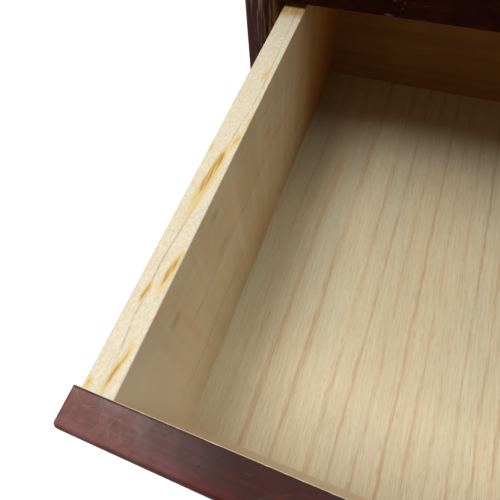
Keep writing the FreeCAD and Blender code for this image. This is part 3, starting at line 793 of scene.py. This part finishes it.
def hazed(mixed, colour, share, seed):
    """A milky bloom over a share of the surface, mottled, speckled and crackled."""
    mottle = mixed.ease(mixed.noise((6, 6, 6), 4.0, 0.6, seed + 5), 0.3, 0.7, 0.6, 1.0)
    warmth = mixed.noise((12, 12, 12), 2.0, seed=seed + 11)
    small = mixed.noise((1.5, 1.5, 1.5), 4.0, 0.7, seed + 13)
    bloom = mixed.lay(WARM_HAZE, HAZE, warmth, 0.4, 0.6)
    bloom = mixed.lay(HAZE_SPECK, bloom, small, 0.46, 0.66, 0.0, 0.22)
    bloom = mixed.lay(HAZE_BLOOM, bloom, small, 0.32, 0.48, 0.22, 0.0)
    colour = mixed.mix(mixed.times(share, mottle), colour, bloom)
    cracks = mixed.times(hairlines(mixed, 11.0, 0.03, seed + 6), mixed.most(share, 0.3))
    return mixed.mix(mixed.times(cracks, 0.35), colour, CRACK_COLOUR)


# %% Rings, marks and knocks
MARK_COLOUR, DENT_COLOUR = tint(176, 120, 104), tint(96, 56, 44)
MARK_SLANT = -8
# each: place across, place front to back, half width, half depth
FRONT_RINGS = [(-155.8, -317.6, 4.4, 3.0), (-168.6, -312.4, 4.4, 3.2)]


def tide_mark(mixed, middle, reach, seed):
    """The thin pale outline that a drying drop leaves on a level surface."""
    wobble = mixed.drift(0.9, (3.2, 3.2, 3.2), 1.0, 0.5, seed)
    spot = mixed.join(mixed.x, mixed.y)
    out = mixed.minus(1.0, blot(mixed, spot, middle, tuple(2 * part for part in reach)))
    off_line = mixed.math("ABSOLUTE", mixed.minus(mixed.plus(out, wobble), 0.5))
    some = mixed.ease(mixed.noise((4, 4, 4), 1.0, seed=seed + 1), 0.35, 0.6, 0.1, 1.0)
    return mixed.times(mixed.ease(off_line, 0.0, 0.07, 1.0, 0.0), some)


def marked(mixed, colour, rings, marks, seed):
    """Rings of dried drops on top, and pale worn marks on a front."""
    for x, y, half_wide, half_deep in rings:
        ring = tide_mark(mixed, (x, y), (half_wide, half_deep), seed + 17)
        colour = mixed.mix(mixed.times(ring, 0.3), colour, CRACK_COLOUR)
    for x, z, half_wide, half_high, depth in marks:
        spot = mixed.join(mixed.x, mixed.z)
        mark = blot(mixed, spot, (x, z), (half_wide, half_high), MARK_SLANT)
        colour = mixed.mix(mixed.times(mark, 0.55 * depth), colour, MARK_COLOUR)
    return colour


def knocked(mixed, colour, axis, seed):
    """Small dents in clusters, and fine scratches along the grain."""
    clusters = mixed.ease(mixed.noise((26, 26, 26), 2.0, seed=seed + 14), 0.5, 0.62)
    dents = mixed.ease(mixed.noise((2.2, 2.2, 2.2), 2.0, seed=seed + 15), 0.7, 0.76)
    dents = mixed.times(dents, clusters)
    colour = mixed.mix(mixed.times(dents, 0.35), colour, DENT_COLOUR)
    scratch = mixed.ease(mixed.noise(step_along(axis, 9, 0.35), 2.0, seed=seed + 9), 0.7, 0.8)
    return mixed.mix(mixed.times(scratch, 0.25), colour, CRACK_COLOUR), dents, scratch


print("rings of dried drops on the big front:", len(FRONT_RINGS))


# %% The lacquer itself
BLUSH, BLED_AND_SHADED = tint(108, 30, 20), tint(44, 20, 12)
LACQUER_IOR = 1.5
LACQUER_RELIEF_MM = 0.07


def lacquer_relief(mixed, axis, clouds, through, rubbed, dents, scratch, seed):
    """How rough the lacquer is, and how its surface rises and falls."""
    pulled = mixed.noise(step_along(axis, 28, 0.7), 3.0, 0.6, seed + 16)
    fine = mixed.noise((0.8, 0.8, 0.8), 2.0, seed=seed + 10)
    rough = mixed.plus(mixed.ease(clouds, 0.3, 0.7, 0.3, 0.4), mixed.times(rubbed, 0.12))
    rough = mixed.plus(rough, mixed.ease(pulled, 0.35, 0.65, 0.0, 0.08))
    height = mixed.plus(mixed.times(through, 0.5), mixed.times(scratch, -0.12))
    height = mixed.plus(height, mixed.plus(mixed.times(pulled, 0.3), mixed.times(dents, -1.2)))
    return rough, mixed.plus(height, mixed.times(fine, 0.25))


def lacquer(name, node, axis, worn_mm=1.2, bare=None, haze=None, grain=0.4, golden=0.0, dark=1.0,
            gloss=0.12, seed=0.0, bare_tints=None, bare_rough=0.62, blush=None, bleed_and_shade=None,
            rings=(), marks=()):
    """Old lacquer over wood. bare, haze, blush and the dark lines say where those things happen;
    on the big front the haze holds a painted sheen and the dark lines a painted shade.
    """
    mixed = Finish(name)
    colour, clouds, through = coats(mixed, axis, grain, golden, dark, seed)
    if blush is not None:
        colour = mixed.mix(blush(mixed), colour, BLUSH)
    if haze is not None:
        colour = hazed(mixed, colour, haze(mixed), seed)
    colour, rubbed = worn_edges(mixed, colour, node, worn_mm, seed)
    colour = marked(mixed, colour, rings, marks, seed)
    colour, dents, scratch = knocked(mixed, colour, axis, seed)
    rough, height = lacquer_relief(mixed, axis, clouds, through, rubbed, dents, scratch, seed)
    # dark lines where the coat ends, and painted shade on the big front's outer arris
    if bleed_and_shade is not None:
        colour = mixed.mix(bleed_and_shade(mixed), colour, BLED_AND_SHADED)
    if bare is not None:
        light, darker = bare_tints or (AGED_LIGHT, AGED_DARK)
        wood, wood_height, _ = bare_wood(mixed, axis, light, darker, seed)
        share = bare(mixed)
        colour = mixed.mix(share, colour, wood)
        rough = mixed.plus(mixed.times(share, mixed.minus(bare_rough, rough)), rough)
        height = mixed.plus(mixed.times(share, mixed.minus(wood_height, height)), height)
    return mixed.finish(colour, rough, height, LACQUER_RELIEF_MM,
                        IOR=LACQUER_IOR, Specular_IOR_Level=gloss)


# %% [markdown]
# ## Where the wood stays bare
#
# Nobody lacquers what the drawers hide. The inside of the case, the inner face of each drawer
# front and the underside stay bare, and on the big front the coat ends there in a ragged dark
# line. A box of soft walls, given in millimetres, tells each finish where its bare part lies.

# %% Limits of the bare places
rail_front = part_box("middle_rail")[0].y / MM
bay_left, bay_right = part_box("case_side_left")[1].x / MM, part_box("case_side_right")[0].x / MM
base_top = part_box("case_side_left")[0].z / MM
top_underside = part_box("top_board")[0].z / MM
panel_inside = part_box("back_panel")[0].y / MM
deep_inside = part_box("deep_side_left")[0].y / MM
EDGE_SLACK = 0.12
RAIL_DEPTH = 21
bay_low = (bay_left - EDGE_SLACK, rail_front - EDGE_SLACK, base_top - EDGE_SLACK)
bay_high = (bay_right + EDGE_SLACK, panel_inside + EDGE_SLACK, top_underside + EDGE_SLACK)
OPEN = (None, None, None)
print("the bay is", round(bay_right - bay_left, 1), "mm wide")


# %% Bare places as finishes see them
def inside_box(mixed, low_mm, high_mm, soft=0.15):
    """1 inside a box, 0 outside. None leaves a side open."""
    share = 1.0
    for place, start, end in zip((mixed.x, mixed.y, mixed.z), low_mm, high_mm):
        if start is not None:
            share = mixed.times(share, mixed.ease(place, start - soft, start + soft))
        if end is not None:
            share = mixed.times(share, mixed.ease(place, end - soft, end + soft, 1.0, 0.0))
    return share


def inside_bay(mixed):
    """1 in the hollow of the case, behind the face of the rail."""
    return inside_box(mixed, bay_low, bay_high, 0.1)


def under_base(mixed):
    """The inside of the bay, and the underside that the box stands on."""
    below = inside_box(mixed, OPEN, (None, None, 0.6), 0.3)
    return mixed.most(inside_bay(mixed), below)


def behind_rail(mixed):
    """1 where the divider runs on behind the rail, out of sight."""
    return inside_box(mixed, (None, rail_front + RAIL_DEPTH, None), OPEN, 0.5)


def inner_arris(mixed, inner_mm, start_mm):
    """1 behind a ragged line that runs start_mm in front of the inner face of a drawer front."""
    ragged = mixed.times(mixed.noise((2.5, 0.8, 0.8), 3.0, 0.6, 93.0), 0.5)
    edge = inner_mm - start_mm + 0.25
    return mixed.ease(mixed.plus(mixed.y, ragged), edge - 0.1, edge + 0.15)


def front_back_face(inner_mm, left_mm, right_mm):
    """A drawer front is bare on its inner face and on the arris between the drawer's sides."""
    def bare(mixed):
        between = inside_box(mixed, (left_mm, None, None), (right_mm, None, None), 0.2)
        behind = inside_box(mixed, (None, inner_mm - 0.1, None), OPEN, 0.1)
        return mixed.most(behind, mixed.times(between, inner_arris(mixed, inner_mm, 0.1)))
    return bare


# %% Lacquer the case
# each: place across, height, half width, half height, depth
RAIL_MARKS = [(-126.9, 118.6, 3.0, 0.9, 0.8), (-126.1, 124.5, 0.9, 0.35, 0.7)]
RAIL_MARKS += [(-122.2, 124.2, 0.7, 0.3, 0.6), (-122.4, 121.9, 0.8, 0.4, 0.5)]
RAIL_MARKS += [(-112.0, 118.3, 7.0, 0.45, 0.3), (44.0, 118.5, 3.5, 0.8, 0.5)]
RAIL_MARKS += [(88.0, 125.0, 1.2, 0.4, 0.5), (132.0, 122.0, 0.9, 0.35, 0.5)]

# each: piece, finish, way of the grain, worn edge in millimetres, bare place, seed, the rest
CASE_COATS = [
    ("base_board", "lacquer_base", "x", 1.5, under_base, 60.0, {}),
    ("top_board", "lacquer_top", "x", 1.5, inside_bay, 61.0, {}),
    ("case_side_left", "lacquer_left", "z", 1.0, inside_bay, 62.0, {"grain": 0.6, "golden": 1.0}),
    ("case_side_right", "lacquer_right", "z", 1.0, inside_bay, 63.0, {"grain": 0.6, "golden": 1.0}),
    ("back_panel", "lacquer_back", "x", 1.0, inside_bay, 64.0, {}),
    ("middle_rail", "lacquer_rail", "x", 0.5, None, 65.0,
     {"dark": 0.7, "gloss": 0.03, "marks": RAIL_MARKS}),
    ("upper_divider", "lacquer_divider", "z", 0.8, behind_rail, 66.0, {}),
    ("rim_front", "lacquer_rim_front", "x", 1.2, None, 67.0, {}),
    ("rim_back", "lacquer_rim_back", "x", 1.2, None, 68.0, {}),
    ("rim_left", "lacquer_rim_left", "y", 1.2, None, 69.0, {}),
    ("rim_right", "lacquer_rim_right", "y", 1.2, None, 70.0, {}),
]
for node, name, axis, worn_mm, bare, seed, rest in CASE_COATS:
    coat(boards[node], lacquer(name, node, axis, worn_mm, bare, seed=seed, **rest))

# %% [markdown]
# ## The drawer fronts
#
# The big front carries the most history: haze where a hand rests on its left end, partly a
# painted sheen, red where the outer edge is rubbed thin, a dark line where the coat stops at
# the bare inner edge, and painted shade along the rounded outer edge. Below each pull, fingers
# and the swinging ring have dulled a round patch. Each of these is a small function that says
# how strong the mark is at a place, and the lacquer asks for it.

# %% Marks of use on the drawer fronts
DEEP_PLATES = ("deep_pull_left_plate", "deep_pull_right_plate")
deep_front_low, deep_front_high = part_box("deep_front")
front_left, front_outer = deep_front_low.x / MM, deep_front_low.y / MM
front_top = deep_front_high.z / MM
# each: from and to, in millimetres from the front's left end, its top or its outer face
HAZE_SHEEN_ACROSS, HAZE_SHEEN_UP = (6, 50), (-14, -2)
THIN_ACROSS, THIN_BACK, OUTER_SHADE_BACK = (26, 56), (2.5, 8.5), (1.0, 2.2)
STAIN_START_MM = 0.65
PATCH_BELOW, PATCH_WIDE, PATCH_HIGH = 0.35, 1.05, 0.95


def span_from(start, span):
    """Where a span begins and ends, counted from a start."""
    return start + span[0], start + span[1]


def haze_and_painted_sheen(mixed):
    """Haze where hands rest, partly a painted sheen: the top edge at the left end, fading to the
    right.
    """
    to_right = mixed.ease(mixed.x, *span_from(front_left, HAZE_SHEEN_ACROSS), 0.9, 0.0)
    upper = mixed.ease(mixed.z, *span_from(front_top, HAZE_SHEEN_UP), 0.35, 1.0)
    return mixed.times(to_right, upper)


def around_pulls(mixed, plates):
    """Where fingers and a swinging ring rub a front: a patch below the middle of each plate."""
    spot = mixed.join(mixed.x, mixed.z)
    touched = 0.0
    for plate in plates:
        low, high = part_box(plate)
        across, level = (low.x + high.x) / 2 / MM, (low.z + high.z) / 2 / MM
        wide = (high.x - low.x) / MM
        middle = (across, level - PATCH_BELOW * wide)
        one = blot(mixed, spot, middle, (PATCH_WIDE * wide, PATCH_HIGH * wide))
        touched = mixed.most(touched, one)
    return mixed.times(mixed.times(touched, facing_front(mixed)), 0.5)


def deep_front_haze_and_sheen(mixed):
    """All the haze of the big front, with the painted sheen at its left end."""
    return mixed.most(haze_and_painted_sheen(mixed), around_pulls(mixed, DEEP_PLATES))


def upper_front_haze(side):
    """The haze of one small front, which has a single pull."""
    return lambda mixed: around_pulls(mixed, (side + "_pull_plate",))


def arris_stain_and_shade(mixed):
    """Dark lines: where the lacquer ends beside the bare inner arris, and painted shade on the outer
    one.
    """
    inner = mixed.times(inner_arris(mixed, deep_inside, STAIN_START_MM), 0.7)
    ragged = mixed.times(mixed.noise((4, 1, 4), 3.0, 0.6, 95.0), 1.6)
    back = mixed.plus(mixed.y, ragged)
    # painted shade: a dark band along the rounded outer arris of the top edge
    return mixed.most(inner, mixed.ease(back, *span_from(front_outer, OUTER_SHADE_BACK), 0.75, 0.0))


def outer_arris(mixed):
    """Where the top coats are thin: along the outer edge of the big front, at its left."""
    ragged = mixed.times(mixed.noise((9, 3, 9), 3.0, 0.6, 91.0), 6.0)
    back = mixed.plus(mixed.y, ragged)
    out = mixed.ease(back, *span_from(front_outer, THIN_BACK), 0.75, 0.0)
    at_left = mixed.ease(mixed.x, *span_from(front_left, THIN_ACROSS), 1.0, 0.15)
    return mixed.times(out, at_left)


print("the big front's top edge lies", round(front_top, 1), "mm above the ground")


# %% Lacquer the drawer fronts
# pale bare wood for the inner faces of the fronts, made near white as painted light where they are
# seen edge-on
FRESH_AND_LIT_WOOD = tint(255, 236, 204), tint(254, 222, 184)

deep_bare = front_back_face(deep_inside, DRAWER_INNER_LEFT, -DRAWER_INNER_LEFT)
coat(boards["deep_front"], lacquer("lacquer_deep_front", "deep_front", "x", 0.7, deep_bare,
                                   deep_front_haze_and_sheen, seed=71.0, bare_tints=FRESH_AND_LIT_WOOD,
                                   bare_rough=0.3, blush=outer_arris, bleed_and_shade=arris_stain_and_shade,
                                   rings=FRONT_RINGS))
for count, side in enumerate(("upper_left", "upper_right")):
    left_side, right_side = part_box(side + "_side_left"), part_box(side + "_side_right")
    upper_bare = front_back_face(left_side[0].y / MM, left_side[1].x / MM, right_side[0].x / MM)
    coat(boards[side + "_front"], lacquer("lacquer_" + side, side + "_front", "x", 1.1, upper_bare,
                                          upper_front_haze(side), seed=73.0 + count,
                                          bare_tints=FRESH_AND_LIT_WOOD))

# %% [markdown]
# ## Brass
#
# Plates, posts, washers and rings are brass that has gone dull. The colour is darker in
# patches and in the hollows of the chased plates. The back plates are chased: a smith strikes
# a ring of petals round the middle and leaves a plain raised rim. We build that relief from
# rings of points, and let a short rule say how deep each point lies.

# %% Dull brass
BRASS_BRIGHT, BRASS_DULL = tint(164, 132, 78), tint(104, 82, 50)
BRASS_SPECK, BRASS_DIRT = tint(70, 56, 38), tint(52, 40, 26)
# how far behind the chased face dirt begins and is thickest
DIRT_BEHIND_MM = (0.08, 0.42)
BRASS_RELIEF_MM = 0.03


def dull_brass(name, seed, face_mm=None):
    """Brass with patches. face_mm is where a chased face lies, and behind it dirt collects."""
    mixed = Finish(name)
    mixed.shader.inputs["Metallic"].default_value = 1.0
    patches = mixed.noise((4, 4, 4), 4.0, 0.6, seed)
    fine = mixed.noise((0.5, 0.5, 0.5), 3.0, 0.6, seed + 1)
    colour = mixed.lay(BRASS_DULL, BRASS_BRIGHT, patches, 0.35, 0.7)
    colour = mixed.lay(BRASS_SPECK, colour, fine, 0.55, 0.8, 0.0, 0.4)
    if face_mm is not None:
        hollow = span_from(face_mm, DIRT_BEHIND_MM)
        colour = mixed.lay(BRASS_DIRT, colour, mixed.y, *hollow, 0.0, 0.8)
    rough = mixed.ease(patches, 0.3, 0.7, 0.3, 0.52)
    return mixed.finish(colour, rough, fine, BRASS_RELIEF_MM)


# %% How deep the chased face lies
PETALS = 16
STEPS_A_PETAL = 10
RINGS_OF_RELIEF = 34
HOLE_MM = 2.25
BOSS_MM, BOSS_FOOT_MM, BOSS_HIGH_MM = 5.0, 6.0, 1.0
RELIEF_MM = 0.45
RIM_FROM, RIM_BEVEL_MM = 0.86, 1.2
TIP_GAP_MM, ROOT_GAP_MM, FIRST_RING_GAP_MM = 0.5, 0.3, 0.2
PETAL_POINT = 0.07
PLATE_BACK_MM = BOSS_HIGH_MM + 1.2


def relief(radius, turn, plate_mm):
    """How far the chased face lies behind its highest level, at a radius and a turn of 0 to 1."""
    rim_inner = RIM_FROM * plate_mm
    if radius > rim_inner:
        over = (radius - rim_inner) / (plate_mm - RIM_BEVEL_MM - rim_inner)
        return RELIEF_MM * max(0.0, 1 - 3 * over) ** 2
    from_ridge = abs(2 * ((turn * PETALS) % 1.0) - 1)
    tip = rim_inner - TIP_GAP_MM - PETAL_POINT * plate_mm * from_ridge ** 2
    root = BOSS_FOOT_MM + ROOT_GAP_MM
    if radius > tip or radius < root:
        return RELIEF_MM
    along = (radius - root) / (tip - root)
    crown = (1 - from_ridge ** 2.5) * (1 - (1 - along) ** 6) * min(1.0, (1 - along) * 7) ** 0.5
    return RELIEF_MM * (1 - crown)


def plate_rings(plate_mm):
    """For each ring of points: its radius, how far behind the boss it lies, and if it is chased."""
    rings = [(HOLE_MM, 0.0, False), (BOSS_MM - 0.3, 0.0, False), (BOSS_MM, 0.05, False)]
    rings += [(BOSS_FOOT_MM, BOSS_HIGH_MM + RELIEF_MM, False)]
    start, end = BOSS_FOOT_MM + FIRST_RING_GAP_MM, plate_mm - RIM_BEVEL_MM
    for step in range(RINGS_OF_RELIEF + 1):
        rings.append((start + (end - start) * step / RINGS_OF_RELIEF, BOSS_HIGH_MM, True))
    rings += [(plate_mm - 0.5, BOSS_HIGH_MM + 0.4, False), (plate_mm, BOSS_HIGH_MM + 0.8, False)]
    return rings + [(plate_mm, PLATE_BACK_MM, False), (HOLE_MM, PLATE_BACK_MM, False)]


print(PETALS, "petals, pressed", RELIEF_MM, "mm deep")


# %% Chase a back plate
def chased_mesh(name, middle, face_y, plate_mm):
    """Rings of points round the middle, joined into one closed shape with a hole."""
    steps = PETALS * STEPS_A_PETAL
    shape = bmesh.new()
    circles = []
    for radius, behind, chased in plate_rings(plate_mm):
        circle = []
        for step in range(steps):
            turn = step / steps
            deep = behind + (relief(radius, turn, plate_mm) if chased else 0.0)
            x = middle.x + MM * radius * math.cos(math.tau * turn)
            z = middle.z + MM * radius * math.sin(math.tau * turn)
            circle.append(shape.verts.new((x, face_y + MM * deep, z)))
        circles.append(circle)
    for inner, outer in zip(circles, circles[1:] + circles[:1]):
        for step in range(steps):
            after = (step + 1) % steps
            face = shape.faces.new((inner[step], outer[step], outer[after], inner[after]))
            face.smooth = inner is not circles[-2] and inner is not circles[-1]
    bmesh.ops.recalc_face_normals(shape, faces=shape.faces)
    mesh = bpy.data.meshes.new(name)
    shape.to_mesh(mesh)
    shape.free()
    return mesh


def chased_plate(node, body, material):
    """Puts a chased plate in the place of a plain one, on the drawer that carries it."""
    low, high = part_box(node)
    plate_mm = (high.x - low.x) / 2 / MM
    mesh = chased_mesh("chased_" + node, (low + high) / 2, low.y, plate_mm)
    plate = bpy.data.objects.new("chased_" + node, mesh)
    bpy.context.scene.collection.objects.link(plate)
    coat(plate, material)
    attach(plate, body)
    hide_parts(node)
    print("chased", node, "radius", round(plate_mm, 1), "mm")


# %% Brass for every pull
brass = dull_brass("dull_brass", 80.0)
for node in boards:
    if node.endswith(("_plate", "_post", "_ring", "_washer")):
        coat(boards[node], brass)

deep_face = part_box("deep_pull_left_plate")[0].y / MM + BOSS_HIGH_MM
upper_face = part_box("upper_left_pull_plate")[0].y / MM + BOSS_HIGH_MM
deep_plate_brass = dull_brass("deep_plate_brass", 82.0, deep_face)
upper_plate_brass = dull_brass("upper_plate_brass", 84.0, upper_face)
chased_plate("deep_pull_left_plate", "deep_drawer", deep_plate_brass)
chased_plate("deep_pull_right_plate", "deep_drawer", deep_plate_brass)
chased_plate("upper_left_pull_plate", "upper_left_drawer", upper_plate_brass)
chased_plate("upper_right_pull_plate", "upper_right_drawer", upper_plate_brass)

# %% [markdown]
# ## The ground
#
# The box stands on a plain pale ground that keeps a soft shadow. The ground and the room look
# white to the eye, but only to the eye: a light path node tells rays that come from it apart
# from light, so the white adds nothing to the light on the box.


# %% Lay the pale ground
GROUND_REACH = 12.0
GROUND_ROUGH, GROUND_RELIEF_MM = 0.9, 0.02
GROUND_DARK, GROUND_PALE = tint(232, 232, 230), tint(236, 236, 234)
WHITE = (1.0, 1.0, 1.0, 1.0)
# how much the ground glows, against the distance from its middle in shares of GLOW_REACH
GLOW_REACH = 3
GLOW_POINTS = [(0, 0.64), (0.1, 0.64), (0.2, 0.66), (0.33, 0.72), (0.5, 0.84), (0.67, 0.93), (1, 0.97)]


def seen_by_eye(tree):
    """1 for rays that the eye sends out, also through glass or off metal, and 0 for light."""
    path = tree.nodes.new("ShaderNodeLightPath")
    total = path.outputs["Is Camera Ray"]
    for name in ("Is Glossy Ray", "Is Transmission Ray"):
        either = tree.nodes.new("ShaderNodeMath")
        either.operation = "MAXIMUM"
        tree.links.new(total, either.inputs[0])
        tree.links.new(path.outputs[name], either.inputs[1])
        total = either.outputs[0]
    return total


def ground_finish():
    """Pale and matt, with a white that only the eye sees, weaker near the box."""
    mixed = Finish("pale_ground")
    clouds = mixed.noise((300, 300, 300), 3.0, seed=1.0)
    colour = mixed.mix(clouds, GROUND_DARK, GROUND_PALE)
    away = mixed.math_on_vector("LENGTH", mixed.place)
    share = mixed.curve(mixed.times(away, 1 / GLOW_REACH), GLOW_POINTS)
    mixed.feed(mixed.shader.inputs["Emission Color"], WHITE)
    mixed.feed(mixed.shader.inputs["Emission Strength"], mixed.times(seen_by_eye(mixed.tree), share))
    return mixed.finish(colour, GROUND_ROUGH, clouds, GROUND_RELIEF_MM)


ground_mesh = bpy.data.meshes.new("ground")
corners = [(x * GROUND_REACH, y * GROUND_REACH, 0) for x, y in ((-1, -1), (1, -1), (1, 1), (-1, 1))]
ground_mesh.from_pydata(corners, [], [(0, 1, 2, 3)])
ground = bpy.data.objects.new("ground", ground_mesh)
bpy.context.scene.collection.objects.link(ground)
coat(ground, ground_finish())

# %% [markdown]
# ## The light
#
# Three soft lamps hang over the open drawer: one over each shoulder and one beyond the box.
# Which of them a place can see past the drawer's walls makes the soft steps of light inside
# it, so each lamp has its own size. The room adds a little from all sides. Their shares add up
# to about one on a level surface, so a colour looks about as it is written.

# %% Light the room
ROOM_LIGHT, ROOM_SEEN = 0.1, 1.0

room = bpy.data.worlds.new("room")
bpy.context.scene.world = room
room.use_nodes = True
backdrop = room.node_tree.nodes["Background"]
strength = room.node_tree.nodes.new("ShaderNodeMapRange")
strength.inputs["To Min"].default_value = ROOM_LIGHT
strength.inputs["To Max"].default_value = ROOM_SEEN
room.node_tree.links.new(seen_by_eye(room.node_tree), strength.inputs["Value"])
room.node_tree.links.new(strength.outputs[0], backdrop.inputs["Strength"])
backdrop.inputs["Color"].default_value = WHITE
print("the room gives", ROOM_LIGHT, "of full light")

# %% Hang the three lamps
LAMP_TARGET = Vector((-0.08, -0.25, 0.08))
LAMP_AWAY = 1.5
FULL_POWER = (math.pi * LAMP_AWAY) ** 2


def hang_lamp(name, left_degrees, back_degrees, wide, long, share):
    """A lamp, wide from left to right and long from front to back.

    share is the part of full light that it gives on a level surface.
    """
    to_left, to_back = (math.tan(math.radians(angle)) for angle in (left_degrees, back_degrees))
    away = Vector((-to_left, to_back, 1.0)).normalized()
    lamp = bpy.data.objects.new(name, bpy.data.lights.new(name, "AREA"))
    lamp.data.shape = "RECTANGLE"
    lamp.data.size = wide
    lamp.data.size_y = long
    lamp.data.energy = FULL_POWER * share
    lamp.location = LAMP_TARGET + away * LAMP_AWAY
    long_side = (Vector((0.0, 1.0, 0.0)) - away * away.y).normalized()
    wide_side = long_side.cross(away)
    lamp.rotation_mode = "QUATERNION"
    lamp.rotation_quaternion = Matrix((wide_side, long_side, away)).transposed().to_quaternion()
    bpy.context.scene.collection.objects.link(lamp)
    print("lamp", name, "at", [round(part, 2) for part in lamp.location])


# each: name, degrees to the left, degrees to the back, metres wide, metres long, share
LAMPS = [
    ("left_shoulder_lamp", 22.5, -8, 0.48, 0.8, 0.49),
    ("right_shoulder_lamp", -18, -3, 0.35, 0.9, 0.25),
    ("far_side_lamp", -14, 26, 0.5, 0.86, 0.17),
]
for lamp in LAMPS:
    hang_lamp(*lamp)
bpy.context.scene.view_settings.view_transform = "Standard"
